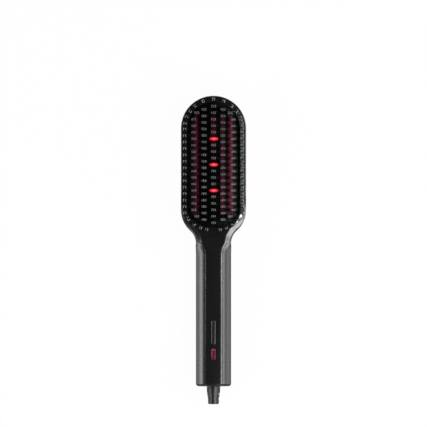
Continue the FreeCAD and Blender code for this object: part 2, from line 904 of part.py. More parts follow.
def swivel_bore(label, barrel_hole, retainer_y):
    """The bore of the end wall and the wider hole of the retainer behind it."""
    start = -size.handle_end - size.wall
    neck = rod_along_y(
        f"{label}_neck", 0, start, end_wall + size.swivel_gap, axis_height,
        size.swivel_radius + size.swivel_gap,
    )
    barrel = rod_along_y(
        f"{label}_barrel", 0, end_wall, retainer_y + size.retainer_thick * 2, axis_height, barrel_hole)
    return fuse(label, neck, barrel)


def case_fasteners():
    screws, plugs = [], []
    flush = body_form("plug_form", size.fit_gap)
    head_bottom = size.screw_depth - size.screw_head_thick
    for i, (x, y) in enumerate(head_screws() + handle_screws()):
        tip = size.screw_depth + size.screw_length
        head = rod_up(f"case_head_{i}", x, y, head_bottom, size.screw_depth, size.screw_head)
        shank = rod_up(f"case_shank_{i}", x, y, size.screw_depth, tip, size.screw_radius)
        screws.append(fuse(f"case_screw_{i}", head, shank))
        plug_radius = size.screw_head + size.fit_gap / 2
        disc = rod_up(f"plug_rod_{i}", x, y, 0, head_bottom, plug_radius)
        plugs.append(common(f"case_plug_{i}", disc, flush))
    node(group("case_screws", *screws))
    node(group("screw_plugs", *plugs))


# ---------------------------------------------------------------------------------------------
# Comb field
# ---------------------------------------------------------------------------------------------
def guard_places():
    """Places of the guard teeth along the field's edge, as x, y and the turn of the tooth."""
    half = (field_half - size.post_line).value
    end_angle = math.degrees(math.asin(corner_x.value / corner_reach.value))
    corner_radius = (size.field_corner - size.post_line).value
    turned = GUARD_CORNER_SHARE * (90 - end_angle)
    corner_post_x = corner_x.value + corner_radius * math.cos(math.radians(turned))
    corner_post_y = corner_y.value - corner_radius * math.sin(math.radians(turned))
    # the teeth along the sides end above the corner, clear of the corner's own tooth
    lowest = max(corner_y.value, corner_post_y + (size.post_long + size.fit_gap).value)
    places = []
    y = first_row.value - row_pitch.value / 2
    while y > lowest:
        if y < size.head_centre.value:
            places += [(half, y, 0), (-half, y, 180)]
        y -= row_pitch.value
    places += [(corner_post_x, corner_post_y, -turned), (-corner_post_x, corner_post_y, 180 + turned)]

    top_angles = [0] + [angle * side for angle in GUARD_TOP_ANGLES for side in (-1, 1)]
    for angle in top_angles:
        across, along = math.sin(math.radians(angle)), math.cos(math.radians(angle))
        places.append((half * across, size.head_centre.value + half * along, 90 - angle))
    end_radius = (field_end_radius - size.post_line).value
    for angle in [share * end_angle * side for share in GUARD_END_SHARES for side in (-1, 1)]:
        across, along = math.sin(math.radians(angle)), math.cos(math.radians(angle))
        places.append((end_radius * across, field_centre.value - end_radius * along, angle - 90))
    return places


def guard_frame():
    gap = size.fit_gap
    ring = pad(
        "guard_ring", [field_outline(gap), field_outline(size.frame_width)], frame_bottom,
        size.frame_thick,
    )
    ledge = pad(
        "guard_ledge", [
            field_outline(size.ledge_inset), field_outline(size.frame_width + size.ledge_width)
        ],
        ledge_bottom, size.ledge_thick,
    )
    latch = block(
        "guard_latch", (
            gap - size.latch_half, size.field_end - size.latch_length + gap,
            frame_top - size.latch_thick,
        ),
        (size.latch_half - gap, size.field_end + size.frame_width / 2, frame_top),
    )
    long, wide = size.post_long / 2, size.post_wide / 2
    post = pad(
        "guard_tooth", [box_path(-long, -wide, long, wide)], frame_top - gap, size.post_height + gap,
        dim(-1.5),
    )
    round_edges(post, size.post_round, level_edge(frame_top + size.post_height))
    document.recompute()
    placements = []
    for x, y, turned in guard_places():
        placements.append(FreeCAD.Placement(vec(x, y, 0), FreeCAD.Rotation(vec(0, 0, 1), turned)))
    posts = copies("guard_teeth", post.Shape, placements)
    bosses = [
        rod_up(
            f"guard_boss_{i}", x, y, size.boss_meet, ledge_bottom + size.ledge_thick / 2,
            size.boss_radius,
        )
        for i, (x, y) in enumerate(head_screws())
    ]
    frame = fuse("guard_whole", ring, ledge, latch, posts, *bosses)
    tools = []
    for i, (x, y) in enumerate(head_screws()):
        top = size.screw_depth + size.screw_length + size.screw_gap
        tools.append(rod_up(
            f"guard_pilot_{i}", x, y, size.boss_meet, top, size.screw_radius + size.screw_gap,
        ))
    for i, (x, y) in enumerate(plate_screw_places()):
        hole = size.plate_screw_radius + size.fit_gap
        tools.append(rod_up(f"guard_hole_{i}", x, y, ledge_bottom, plate_bottom + size.wall, hole))
    node(cut("guard_frame", frame, *tools))


def tooth_places():
    """Row number and lean of each heated tooth; a lamp takes the place of some middle ones."""
    outer = math.degrees((plate_half - size.column_margin).value / size.bed_radius.value)
    inner = outer * size.inner_share.value
    places = [(row_number, 0) for row_number in range(LAST_ROW + 1) if row_number not in LAMP_ROWS]
    for side in (-1, 1):
        places += [(row_number + 0.5, inner * side) for row_number in range(LAST_ROW)]
        places += [(row_number, outer * side) for row_number in range(2, LAST_ROW - 1)]
        places += [(row_number, outer * size.end_share.value * side) for row_number in (1, LAST_ROW - 1)]
    return places


def tooth_placements():
    centre = vec(0, 0, bed_axis.value)
    placements = []
    for row_number, lean in tooth_places():
        y = first_row.value - row_pitch.value * row_number
        turned = FreeCAD.Placement(vec(0, 0, 0), FreeCAD.Rotation(vec(0, 1, 0), lean), centre)
        placements.append(FreeCAD.Placement(vec(0, y, 0), FreeCAD.Rotation()) * turned)
    return placements


def heated_teeth():
    long, wide = size.tooth_long / 2, size.tooth_wide / 2
    root_height = bed_height - size.tooth_root
    tooth = pad(
        "tooth", [box_path(-long, -wide, long, wide)], root_height, size.tooth_height + size.tooth_root,
        -size.tooth_draft,
    )
    cover = bed_height + size.tooth_height - size.tip_cover
    top = cover + size.tip_height
    long, wide = size.tip_long / 2, size.tip_wide / 2
    tip = pad("tip_block", [box_path(-long, -wide, long, wide)], cover, size.tip_height, dim(-2))
    round_edges(tip, size.tip_round, level_edge(top))
    groove_radius = size.tip_wide / 4
    groove = rod_along_y(
        "tip_groove", 0, -size.tip_wide, size.tip_wide, top + groove_radius - size.tip_groove,
        groove_radius,
    )
    tip = cut("tip", tip, tooth, groove)
    document.recompute()
    placements = tooth_placements()
    teeth = node(copies("heating_teeth", tooth.Shape, placements))
    node(copies("tooth_tips", tip.Shape, placements))
    return teeth


def heater_plate(teeth):
    blank = pad(
        "plate_blank", [field_outline(size.frame_width + size.fit_gap)], plate_bottom,
        bed_height - plate_bottom,
    )
    arch = rod_along_y("plate_arch", 0, 0, size.head_centre * 2, bed_axis, size.bed_radius)
    plate = common("plate_whole", blank, arch)
    tools = []
    gap = size.lamp_gap
    for i, y in enumerate(lamp_places()):
        window = pill_path(0, y, size.lamp_long / 2 + gap, size.lamp_wide / 2 + gap)
        tools.append(pad(f"lamp_window_{i}", [window], plate_bottom, bed_height))
    first, step = chamber_start + size.ear_width, size.chamber_length / 4
    for i in range(3):
        for side in (-1, 1):
            label = f"steam_vent_{i}_{side}"
            tools.append(rod_up(
                label, size.vent_spread * side, first + step * i, 0, size.body_height * 2,
                size.vent_radius,
            ))
    for i, (x, y) in enumerate(plate_screw_places() + ear_screw_places()):
        top = plate_bottom + size.plate_screw_grip + size.screw_gap
        tools.append(rod_up(
            f"plate_pilot_{i}", x, y, plate_bottom, top, size.plate_screw_radius + size.screw_gap,
        ))
    drilled = cut("plate_drilled", plate, *tools)
    node(cut("heater_plate", drilled, teeth))


def ear_half():
    return tab_place() - size.heater_thick / 2 - size.fit_gap


def ear_screw_places():
    y = chamber_start + size.ear_width * 1.8
    across = (size.chamber_half + ear_half()) / 2
    return [(-across, y), (across, y)]


def lamps():
    lens_bottom = lamp_board_top + size.led_height + size.fit_gap
    top = bed_height + size.lamp_rise
    lenses, lights = [], []
    for i, y in enumerate(lamp_places()):
        shape = pill_path(0, y, size.lamp_long / 2, size.lamp_wide / 2)
        lens = pad(f"lens_{i}", [shape], lens_bottom, top - lens_bottom)
        lenses.append(round_edges(lens, size.lamp_round, level_edge(top)))
        half = size.led_side / 2
        lights.append(block(
            f"led_{i}", (-half, y - half, lamp_board_top),
            (half, y + half, lamp_board_top + size.led_height),
        ))
    node(group("lamp_lenses", *lenses))
    node(group("lamp_leds", *lights))
    low, high = lamp_places()[-1] - size.lamp_long, lamp_places()[0] + size.lamp_long
    half = size.lamp_long * 0.64
    node(block("lamp_board", (-half, low, lamp_board_bottom), (half, high, lamp_board_top)))
    spacers = []
    for i, y in enumerate((low + size.led_side, high - size.led_side)):
        for side in (-1, 1):
            shield_top = size.shield_bottom + size.shield_thick
            spacers.append(rod_up(
                f"spacer_{i}_{side}", half * side * 0.7, y, shield_top, lamp_board_bottom,
                size.led_side / 2,
            ))
    node(group("lamp_board_spacers", *spacers))


def strip_outer():
    return field_half - size.frame_width - size.ledge_width - size.heater_gap


def tab_place():
    """Middle of the right heater strip's terminal, from the middle of the brush."""
    return (size.strip_inner + strip_outer()) / 2 - size.tab_inset


def heater():
    low, high = size.strip_inner, strip_outer()
    start, end = heater_start, heater_end
    bottom = plate_bottom - size.heater_thick
    strips, sheets, tabs = [], [], []
    for side, name in ((-1, "left"), (1, "right")):
        edges = (low, high) if side > 0 else (-high, -low)
        strips.append(block(f"strip_{name}", (edges[0], start, bottom), (edges[1], end, plate_bottom)))
        sheets.append(block(
            f"mica_{name}", (edges[0], start, bottom - size.mica_thick), (edges[1], end, bottom),
        ))
        middle = tab_place() * side
        tab_half = size.heater_thick / 2
        tab_bottom = bottom + size.heater_thick * 0.4
        tabs.append(block(
            f"tab_{name}", (middle - tab_half, start - size.heater_thick * 1.5, tab_bottom),
            (middle + tab_half, start, tab_bottom + size.clamp_thick),
        ))
    node(group("heater_strips", *strips))
    node(group("mica_sheets", *sheets))
    node(group("heater_tabs", *tabs))

    lower = bottom - size.mica_thick
    thick = size.clamp_thick
    overhang = size.plate_screw_radius + size.clamp_overhang
    end_x = field_half - size.frame_width - size.ledge_width / 2 + overhang
    bend = high + size.clamp_thick / 4
    ramp = end_x - overhang * 1.9
    profile = Path(-bend, lower - thick).line(bend, lower - thick).line(ramp, ledge_bottom - thick)
    profile.line(end_x, ledge_bottom - thick).line(end_x, ledge_bottom).line(ramp, ledge_bottom)
    profile.line(bend, lower).line(-bend, lower).line(-ramp, ledge_bottom).line(-end_x, ledge_bottom)
    profile.line(-end_x, ledge_bottom - thick).line(-ramp, ledge_bottom - thick).close()
    bars = []
    for name, y in (("lower", size.clamp_lower), ("upper", size.clamp_upper)):
        bar = pad_along_y(f"clamp_bar_{name}", [profile], y + size.clamp_width / 2, size.clamp_width)
        hole = size.plate_screw_radius + size.fit_gap
        holes = [
            rod_up(
                f"clamp_hole_{name}_{side}", plate_screw_places()[2][0] * side, y, 0, size.body_height,
                hole,
            )
            for side in (-1, 1)
        ]
        bars.append(cut(f"clamp_{name}", bar, *holes))
    node(group("clamp_springs", *bars))

    screws = []
    for i, (x, y) in enumerate(plate_screw_places() + ear_screw_places()):
        under = ledge_bottom - size.clamp_thick if i < len(plate_screw_places()) else ear_bottom()
        head = rod_up(
            f"plate_head_{i}", x, y, under - size.clamp_thick, under, size.plate_screw_radius * 1.8,
        )
        shank = rod_up(
            f"plate_shank_{i}", x, y, under, plate_bottom + size.plate_screw_grip,
            size.plate_screw_radius,
        )
        screws.append(fuse(f"plate_screw_{i}", head, shank))
    node(group("plate_screws", *screws))

    half = size.led_side / 2
    probe_y = (lamp_places()[1] + lamp_places()[2]) / 2 + size.clamp_width
    node(block(
        "thermistor", (-half, probe_y - half * 1.6, plate_bottom - half),
        (half, probe_y + half * 1.6, plate_bottom),
    ))
    fuse_start = lamp_places()[0] + size.lamp_wide
    fuse_radius = size.lamp_wide / 2
    node(rod_along_y(
        "thermal_fuse", 0, fuse_start, fuse_start + size.lamp_long * 1.2, plate_bottom - fuse_radius,
        fuse_radius,
    ))

    wide = high * 0.85
    tray = block(
        "shield_sheet", (-wide, start - size.wall, size.shield_bottom),
        (wide, end + size.wall, size.shield_bottom + size.shield_thick),
    )
    room = size.hose_radius + size.wall / 2
    hose_hole = rod_up("shield_hole", 0, hose_turn, 0, size.body_height, room)
    hose_notch = block(
        "shield_notch", (-room, start - size.wall * 2, 0), (room, hose_turn, size.body_height),
    )
    stakes = [
        rod_up(f"stake_hole_{i}", x, y, 0, size.body_height, size.stake_radius + size.fit_gap / 2)
        for i, (x, y) in enumerate(shield_post_places())
    ]
    node(cut("heat_shield", tray, hose_hole, hose_notch, *stakes))


# ---------------------------------------------------------------------------------------------
# Steam parts
# ---------------------------------------------------------------------------------------------
def ear_bottom():
    return plate_bottom - size.gasket_thick - size.chamber_wall


def nipple(label, start, end, height):
    return rod_along_y(label, 0, start, end, height, size.hose_bore)


def steam_chamber():
    half, wall = size.chamber_half, size.chamber_wall
    start, end = chamber_start, chamber_start + size.chamber_length
    bottom, top = chamber_bottom, plate_bottom - size.gasket_thick
    box = block("chamber_box", (-half, start, bottom), (half, end, top))
    ear_y = ear_screw_places()[0][1]
    ear = block(
        "chamber_ears", (-ear_half(), ear_y - size.ear_width / 2, ear_bottom()),
        (ear_half(), ear_y + size.ear_width / 2, top),
    )
    inlet = rod_up(
        "chamber_inlet", 0, hose_turn, bottom - size.nipple_length, bottom + wall, size.hose_bore,
    )
    hollow = block(
        "chamber_hollow", (wall - half, start + wall, bottom + wall), (half - wall, end - wall, top),
    )
    bore = rod_up("chamber_bore", 0, hose_turn, 0, bottom + wall * 2, size.nipple_bore)
    holes = [
        rod_up(f"ear_hole_{i}", x, y, 0, top, size.plate_screw_radius + size.fit_gap)
        for i, (x, y) in enumerate(ear_screw_places())
    ]
    node(cut("steam_chamber", fuse("chamber_whole", box, ear, inlet), hollow, bore, *holes))
    rim = pad(
        "steam_gasket", [
            box_path(-half, start, half, end),
            box_path(wall - half, start + wall, half - wall, end - wall),
        ],
        top, size.gasket_thick,
    )
    node(rim)


def water_parts():
    half, wall = size.tank_half, size.tank_wall
    start, end = -size.tank_start, tank_end
    bottom, top = size.tank_bottom, size.tank_bottom + size.tank_height
    place = -size.filler_place
    outlet = pump_axis
    spout_end = post_root
    box = pad("tank_box", [box_path(-half, start, half, end)], bottom, size.tank_height)
    round_edges(box, size.wall * 1.5, lambda edge: edge.BoundBox.ZLength > size.tank_height.value / 2)
    spout = rod_up("tank_spout", 0, place, spout_end, bottom + wall, size.filler_radius)
    outside = fuse(
        "tank_outside", box, spout, nipple("tank_nipple", end - wall, end + size.nipple_length, outlet),
    )
    hollow = block(
        "tank_hollow", (wall - half, start + wall, bottom + wall), (half - wall, end - wall, top - wall),
    )
    bore = rod_up("tank_bore", 0, place, 0, bottom + wall * 1.5, size.filler_bore)
    outlet_bore = rod_along_y(
        "tank_outlet", 0, end - wall * 2, end + size.nipple_length * 2, outlet, size.nipple_bore,
    )
    node(cut("water_tank", outside, hollow, bore, outlet_bore))

    stem = rod_up("plug_stem", 0, place, spout_end, bottom + wall, size.filler_bore - size.plug_gap)
    disc = rod_up("plug_disc", 0, place, size.wall / 4, spout_end, size.filler_radius - size.plug_gap)
    grip = block(
        "plug_grip", (-size.wall / 2, place - size.filler_radius, 0),
        (size.wall / 2, place + size.filler_radius, size.wall / 2),
    )
    ring = rod_up("plug_ring", 0, place, 0, size.wall / 2, size.filler_radius * 0.7)
    node(cut("filler_plug", fuse("plug_whole", stem, disc), cut("plug_recess", ring, grip)))

    case = rod_along_y("pump_case", 0, pump_start, pump_end, outlet, size.pump_radius)
    collar = rod_along_y(
        "pump_collar", 0, pump_start, pump_start + size.wall, outlet, size.pump_radius * 0.6,
    )
    intake = nipple("pump_intake", pump_start - size.nipple_length, pump_start + size.wall, outlet)
    delivery = nipple("pump_delivery", pump_end - size.wall, pump_end + size.nipple_length, outlet)
    node(fuse("water_pump", case, collar, intake, delivery))
    hose = rod_along_y("suction_tube", 0, end, pump_start, outlet, size.hose_radius)
    inside = rod_along_y("suction_bore", 0, end, pump_start, outlet, size.hose_bore)
    node(cut("suction_hose", hose, inside))

    route = [(0, pump_end, outlet), (0, hose_turn, outlet), (0, hose_turn, chamber_bottom)]
    tube = lead("steam_tube", route, size.hose_radius, mirrored=False)
    tube_bore = lead("steam_bore", route, size.hose_bore, mirrored=False)
    node(cut("steam_hose", tube, tube_bore))


# ---------------------------------------------------------------------------------------------
# Controls
# ---------------------------------------------------------------------------------------------
def button(label, place, length, width, flange_top):
    """A pill-shaped key with a flange that keeps it under the front wall."""
    top = size.body_height + size.button_rise
    bottom = flange_bottom
    key = pad(f"{label}_key", [pill_path(0, -place, width / 2, length / 2)], bottom, top - bottom)
    round_edges(key, size.button_round, level_edge(top))
    rim = size.flange_width
    flange = pad(
        f"{label}_flange", [pill_path(0, -place, width / 2 + rim, length / 2 + rim)], bottom,
        flange_top - bottom,
    )
    return key, flange


def switch_top():
    return button_board_top + size.switch_height + size.power_swing * 1.75


def coils(label, places):
    """Compression springs between the button board and a flange, as one node."""
    springs = []
    wire = size.spring_wire
    for i, y in enumerate(places):
        helix = document.addObject("Part::Helix", f"{label}_helix_{i}")
        height = flange_bottom - button_board_top - wire * 2 - size.pin_gap * 2
        helix.setExpression("Height", height.text)
        helix.setExpression("Pitch", (height / 4).text)
        helix.setExpression("Radius", size.spring_radius.text)
        section = document.addObject("Part::Circle", f"{label}_section_{i}")
        section.setExpression("Radius", wire.text)
        section.Placement.Rotation = FreeCAD.Rotation(vec(1, 0, 0), 90)
        section.setExpression("Placement.Base.x", size.spring_radius.text)
        document.recompute()
        coil = document.addObject("Part::Sweep", f"{label}_coil_{i}")
        coil.Sections = [section]
        coil.Spine = (helix, [f"Edge{n}" for n in range(1, len(helix.Shape.Edges) + 1)])
        coil.Solid = True
        coil.Frenet = True
        coil.setExpression("Placement.Base.y", y.text)
        coil.setExpression("Placement.Base.z", (button_board_top + wire + size.pin_gap).text)
        springs.append(coil)
    return node(group(label, *springs))


def controls():
    pivot = flange_bottom + size.flange_width
    rocker_y, power_y = -size.rocker_place, -size.power_place
    foot_bottom = switch_top() + size.power_swing
    key, flange = button(
        "rocker", size.rocker_place, size.rocker_length, size.rocker_width,
        front_wall - size.rocker_swing,
    )
    feet = [
        rod_up(
            f"rocker_foot_{side}", 0, rocker_y + switch_spread * side, foot_bottom, flange_bottom,
            size.foot_radius,
        )
        for side in (-1, 1)
    ]
    wide = size.rocker_width
    bore = solid(
        "Part::Cylinder", "rocker_bore", (-wide, rocker_y, pivot), (0, 90, 0),
        Radius=size.pin_radius + size.pin_gap, Height=wide * 2,
    )
    node(cut("rocker_button", fuse("rocker_whole", key, flange, *feet), bore))
    half_pin = size.carrier_half * 0.66
    node(solid(
        "Part::Cylinder", "rocker_pin", (-half_pin, rocker_y, pivot), (0, 90, 0),
        Radius=size.pin_radius, Height=half_pin * 2,
    ))

    key, flange = button(
        "power", size.power_place, size.power_length, size.power_width, front_wall - size.power_swing,
    )
    press_foot = rod_up(
        "power_foot", 0, power_y, switch_top() + size.power_travel + size.pin_gap, flange_bottom,
        size.foot_radius,
    )
    node(fuse("power_button", key, flange, press_foot))

    spring_step = size.switch_side / 2 + size.spring_radius + size.spring_wire + size.pin_gap * 8
    coils("power_springs", [power_y - spring_step, power_y + spring_step])
    inner_step = switch_spread - spring_step
    coils("rocker_springs", [rocker_y - inner_step, rocker_y + inner_step])

    half = size.carrier_half
    rear, fore = -size.rear_screw - size.boss_radius, size.boss_radius - size.front_screw
    plate = block("carrier_plate", (-half, rear, carrier_bottom), (half, fore, carrier_top))
    lug_low = size.rocker_width / 2 + size.flange_width + size.fit_gap * 2
    pieces = [plate]
    for side in (-1, 1):
        edges = (lug_low, half_pin) if side > 0 else (-half_pin, -lug_low)
        lug_top = pivot + size.flange_width * 0.8
        lug_half = size.pin_radius * 3
        pieces.append(block(
            f"carrier_lug_{side}", (edges[0], rocker_y - lug_half, carrier_top),
            (edges[1], rocker_y + lug_half, lug_top),
        ))
        for y in leg_rows():
            pieces.append(rod_up(
                f"carrier_leg_{side}_{y.value:.0f}", half * 0.83 * side, y, button_board_top,
                carrier_bottom, size.foot_radius,
            ))
    window = size.spring_radius + size.spring_wire * 2
    tools = [
        block(
            "rocker_window", (-window, rocker_y - switch_spread - window, 0),
            (window, rocker_y + switch_spread + window, carrier_top),
        ),
        block(
            "power_window", (-window, power_y - spring_step - window, 0),
            (window, power_y + spring_step + window, carrier_top),
        ),
        solid(
            "Part::Cylinder", "pin_cut", (-half, rocker_y, pivot), (0, 90, 0), Radius=size.pin_radius,
            Height=half * 2,
        ),
    ]
    for i, (x, y) in enumerate(handle_screws()):
        tools.append(rod_up(
            f"carrier_hole_{i}", x, y, 0, size.body_height, size.stem_radius + size.fit_gap / 2,
        ))
    node(cut("button_carrier", fuse("carrier_whole", *pieces), *tools))

    board_half = half * 1.05
    low, high = leg_rows()[0] - size.wall, leg_rows()[1] + size.wall
    node(block(
        "button_board", (-board_half, low, button_board_top - size.board_thick),
        (board_half, high, button_board_top),
    ))
    side = size.switch_side / 2
    switches = []
    for i, y in enumerate((rocker_y - switch_spread, rocker_y + switch_spread, power_y)):
        case = block(
            f"switch_case_{i}", (-side, y - side, button_board_top),
            (side, y + side, button_board_top + size.switch_height),
        )
        stem = rod_up(f"switch_stem_{i}", 0, y, button_board_top, switch_top(), size.foot_radius)
        switches.append(fuse(f"switch_{i}", case, stem))
    node(group("key_switches", *switches))
    light = size.led_side / 2
    x = side + light / 2
    node(block(
        "power_light", (x, power_y - light / 2, button_board_top),
        (x + light, power_y + light / 2, button_board_top + light / 2),
    ))


def leg_rows():
    return (-size.rear_screw + size.boss_radius * 1.8, -size.front_screw - size.boss_radius * 5.3)


# ---------------------------------------------------------------------------------------------
# Electronics and leads
# ---------------------------------------------------------------------------------------------
def electronics():
    half = size.main_board_half
    start, end = -size.main_board_start, size.main_board_length - size.main_board_start
    top = main_board_top
    board = block("board_sheet", (-half, start, size.main_board_bottom), (half, end, top))
    holes, screws = [], []
    shank = size.plate_screw_radius
    for i, (x, y) in enumerate(board_screw_places()):
        holes.append(rod_up(f"board_hole_{i}", x, y, 0, top, shank + size.screw_gap))
        tip = size.main_board_bottom - size.board_screw_grip
        stem = rod_up(f"board_stem_{i}", x, y, tip, top, shank)
        head = rod_up(f"board_head_{i}", x, y, top, top + size.clamp_thick, shank * 1.8)
        screws.append(fuse(f"board_screw_{i}", stem, head))
    node(cut("main_board", board, *holes))
    node(group("board_screws", *screws))
    room = button_board_top - size.board_thick - top
    tall = room * 0.93
    node(block(
        "relay", (-half * 0.85, start + half * 2.2, top),
        (-size.clamp_thick, start + half * 3.5, top + tall),
    ))
    node(block(
        "capacitor", (size.clamp_thick * 2, start + half * 2.2, top),
        (half * 0.85, start + half * 3.3, top + tall * 0.96),
    ))
    node(block(
        "control_chip", (-half * 0.6, start + half * 0.8, top),
        (size.clamp_thick, start + half * 1.5, top + size.clamp_thick * 1.5),
    ))
    fuse_radius = room * 0.297
    node(rod_along_y(
        "line_fuse", half * 0.45, start + half * 0.5, start + half * 1.7, top + fuse_radius, fuse_radius,
    ))

    past_tank, below_strips = size.body_height - 13.4, plate_bottom - 6.3
    tab_x, tab_z = tab_place(), plate_bottom - size.heater_thick * 0.6
    over = top + dim(1.0)
    node(lead("heater_leads", [
        (9, end - 3.5, over), (9, end + 3, over), (13.4, end + 12, past_tank),
        (13.4, tank_end, past_tank), (10.8, tank_end + 6, 13.4), (10.8, heater_start - 10, 13.4),
        (tab_x, heater_start - 4.4, below_strips - 2.1), (tab_x, heater_start - 2.4, below_strips),
        (tab_x, heater_start - 2.4, tab_z),
    ], 1.0))
    low = top + dim(0.6)
    over_tank, under_chamber = size.tank_bottom + size.tank_height + 1.7, chamber_bottom - 1.1
    lamp_end, on_lamps = lamp_places()[-1] - size.lamp_long, lamp_board_top + dim(0.6)
    node(lead("lamp_leads", [
        (5, end - 3.5, low), (5, end + 3, low), (5.6, end + 12, over_tank),
        (5.6, tank_end - 4, over_tank), (7, tank_end + 10, under_chamber),
        (7, lamp_end - 4.1, under_chamber), (4.2, lamp_end + 1.9, on_lamps),
        (4.2, lamp_end + 5.9, on_lamps),
    ], 0.6))
    block_front = -size.swivel_end
    under = size.main_board_bottom - 0.9
    node(lead("mains_leads", [
        (4.6, block_front - 0.5, 4.2), (4.6, -114.5, 4.2), (5.6, -109, 8.4), (5.6, -103, under),
    ], 0.9))


# ---------------------------------------------------------------------------------------------
# Cord swivel
# ---------------------------------------------------------------------------------------------
def cord_swivel():
    bore, neck, barrel = collar_bore, size.swivel_radius, size.barrel_radius
    flange_start = end_wall + size.swivel_gap
    flange_end = flange_start + size.swivel_flange_thick
    neck_end = -size.handle_end - size.fit_gap * 2
    spigot = spigot_radius
    spigot_end = neck_end - size.spigot_length
    collar = Path(bore, spigot_end).line(spigot, spigot_end).line(spigot, neck_end).line(neck, neck_end)
    collar.line(neck, flange_start).line(size.swivel_flange, flange_start).line(
        size.swivel_flange, flange_end,
    )
    collar.line(barrel, flange_end).line(barrel, -size.swivel_end).line(bore, -size.swivel_end).close()
    node(turn("swivel_collar", collar, axis_height))

    bore, tip = size.cord_bore, size.sleeve_tip
    tip_end = -size.handle_end - size.sleeve_length
    taper_start = neck_end - size.sleeve_root
    rounding = size.sleeve_round
    outline = Path(bore, tip_end).line(tip - rounding, tip_end)
    outline.arc(tip - rounding, tip_end + rounding, tip, tip_end + rounding)
    outline.line(tip, taper_start - size.sleeve_taper).line(neck, taper_start).line(neck, neck_end)
    outline.line(spigot, neck_end).line(spigot, spigot_end).line(bore, spigot_end).close()
    sleeve = turn("sleeve_body", outline, axis_height)
    slots = []
    floor = spigot + size.rib_gap / 2
    wide = size.swivel_radius * 2
    for i in range(2):
        y = tip_end + size.rib_start + size.rib_pitch * i
        slots.append(block(f"side_groove_{i}", (floor, y, 0), (wide, y + size.rib_gap, size.body_height)))
        y = y - size.rib_pitch / 2
        slots.append(block(
            f"back_groove_{i}", (-wide, y, 0), (wide, y + size.rib_gap, axis_height - floor),
        ))
    node(cut("cord_sleeve", sleeve, *slots))

    rings, fingers = [], []
    half = size.ring_width / 2
    strip = size.clamp_thick / 2
    touch = axis_height - size.ring_radius - size.swivel_gap
    block_top = size.wall + size.tank_bottom * 0.6
    for name, place in (("lower", size.ring_lower), ("upper", size.ring_upper)):
        ring = Path(barrel, -place).line(size.ring_radius, -place).line(
            size.ring_radius, size.ring_width - place,
        )
        ring.line(barrel, size.ring_width - place).close()
        rings.append(turn(f"ring_{name}", ring, axis_height))
        foot = size.barrel_radius * 0.9
        finger = Path(-foot, block_top).line(strip - foot, block_top).line(0, touch - strip).line(
            foot - strip, block_top,
        )
        finger.line(foot, block_top).line(0, touch).close()
        fingers.append(pad_along_y(f"finger_{name}", [finger], half - place + half * 1.6, half * 1.2))
    node(group("slip_rings", *rings))
    node(group("contact_fingers", *fingers))
    wide = size.handle_half - size.back_round
    node(block(
        "contact_block", (-wide, -size.ring_lower, size.wall), (wide, -size.swivel_end - 0.5, block_top),
    ))


shells()
case_fasteners()
guard_frame()
heater_plate(heated_teeth())
lamps()
heater()
steam_chamber()
water_parts()
controls()
electronics()
cord_swivel()
document.recompute()

failed = [item.Label for item in document.Objects if {"Invalid", "Error"} & set(item.State)]
for piece in nodes:
    shape = piece.Shape
    if shape.isNull() or not shape.isValid() or not shape.Solids:
        failed.append(piece.Label)
if failed:
    raise RuntimeError(f"these pieces failed: {sorted(set(failed))}")

os.makedirs("parts", exist_ok=True)
for piece in nodes:
    piece.Shape.exportStep(f"parts/{piece.Label}.step")
print(f"{len(nodes)} nodes written")
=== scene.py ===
# %% [markdown]
# # A steam hair straightener brush
#
# The brush lies on its back with the comb teeth up (+Z) and its head towards +Y. The solids come from
# the packed model and stay where they are. This script gives them their looks: rounded edges that
# catch the light, moulded plastic, coated metal, red lamps, and a small studio.
#
# The first cell loads the solids and the record of the model.

# %% Load the frame
import json
import math

import bmesh
import bpy
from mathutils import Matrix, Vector


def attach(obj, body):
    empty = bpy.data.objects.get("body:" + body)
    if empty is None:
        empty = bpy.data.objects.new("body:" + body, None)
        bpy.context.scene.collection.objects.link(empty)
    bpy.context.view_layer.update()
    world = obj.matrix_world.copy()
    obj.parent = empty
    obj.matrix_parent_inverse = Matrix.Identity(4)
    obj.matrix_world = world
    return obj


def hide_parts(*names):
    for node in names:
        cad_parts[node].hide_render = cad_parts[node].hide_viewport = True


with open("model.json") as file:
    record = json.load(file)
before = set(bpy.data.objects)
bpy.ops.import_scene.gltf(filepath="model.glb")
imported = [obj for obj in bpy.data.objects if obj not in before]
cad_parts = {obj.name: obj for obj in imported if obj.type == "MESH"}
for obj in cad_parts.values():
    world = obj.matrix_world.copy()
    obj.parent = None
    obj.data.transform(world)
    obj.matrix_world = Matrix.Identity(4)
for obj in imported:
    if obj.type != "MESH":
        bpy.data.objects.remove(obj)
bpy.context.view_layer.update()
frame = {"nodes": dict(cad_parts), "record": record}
MM = 0.001

# %% [markdown]
# ## Sums on sockets
#
# A material is a tree of nodes. Most of its nodes are plain sums, such as "noise times 0.1 plus 0.3",
# and placing those one by one hides what they mean. A small class that wraps a socket and knows plus,
# minus and times lets the sum be written as a sum, and every operator adds its Math node.


# %% A socket that can be used in sums
class Wire:
    def __init__(self, finish, socket):
        self.finish = finish
        self.socket = socket

    def math(self, operation, *values):
        inputs = dict(enumerate([self, *values]))
        return self.finish.node("Math", {"operation": operation}, inputs)

    def __add__(self, other):
        return self.math("ADD", other)

    def __sub__(self, other):
        return self.math("SUBTRACT", other)

    def __mul__(self, other):
        return self.math("MULTIPLY", other)

    def __rsub__(self, other):
        return self.finish.node("Math", {"operation": "SUBTRACT"}, {0: other, 1: self})

    __radd__ = __add__
    __rmul__ = __mul__


print("sums on a socket:", [name for name in vars(Wire) if name.startswith("__r")])

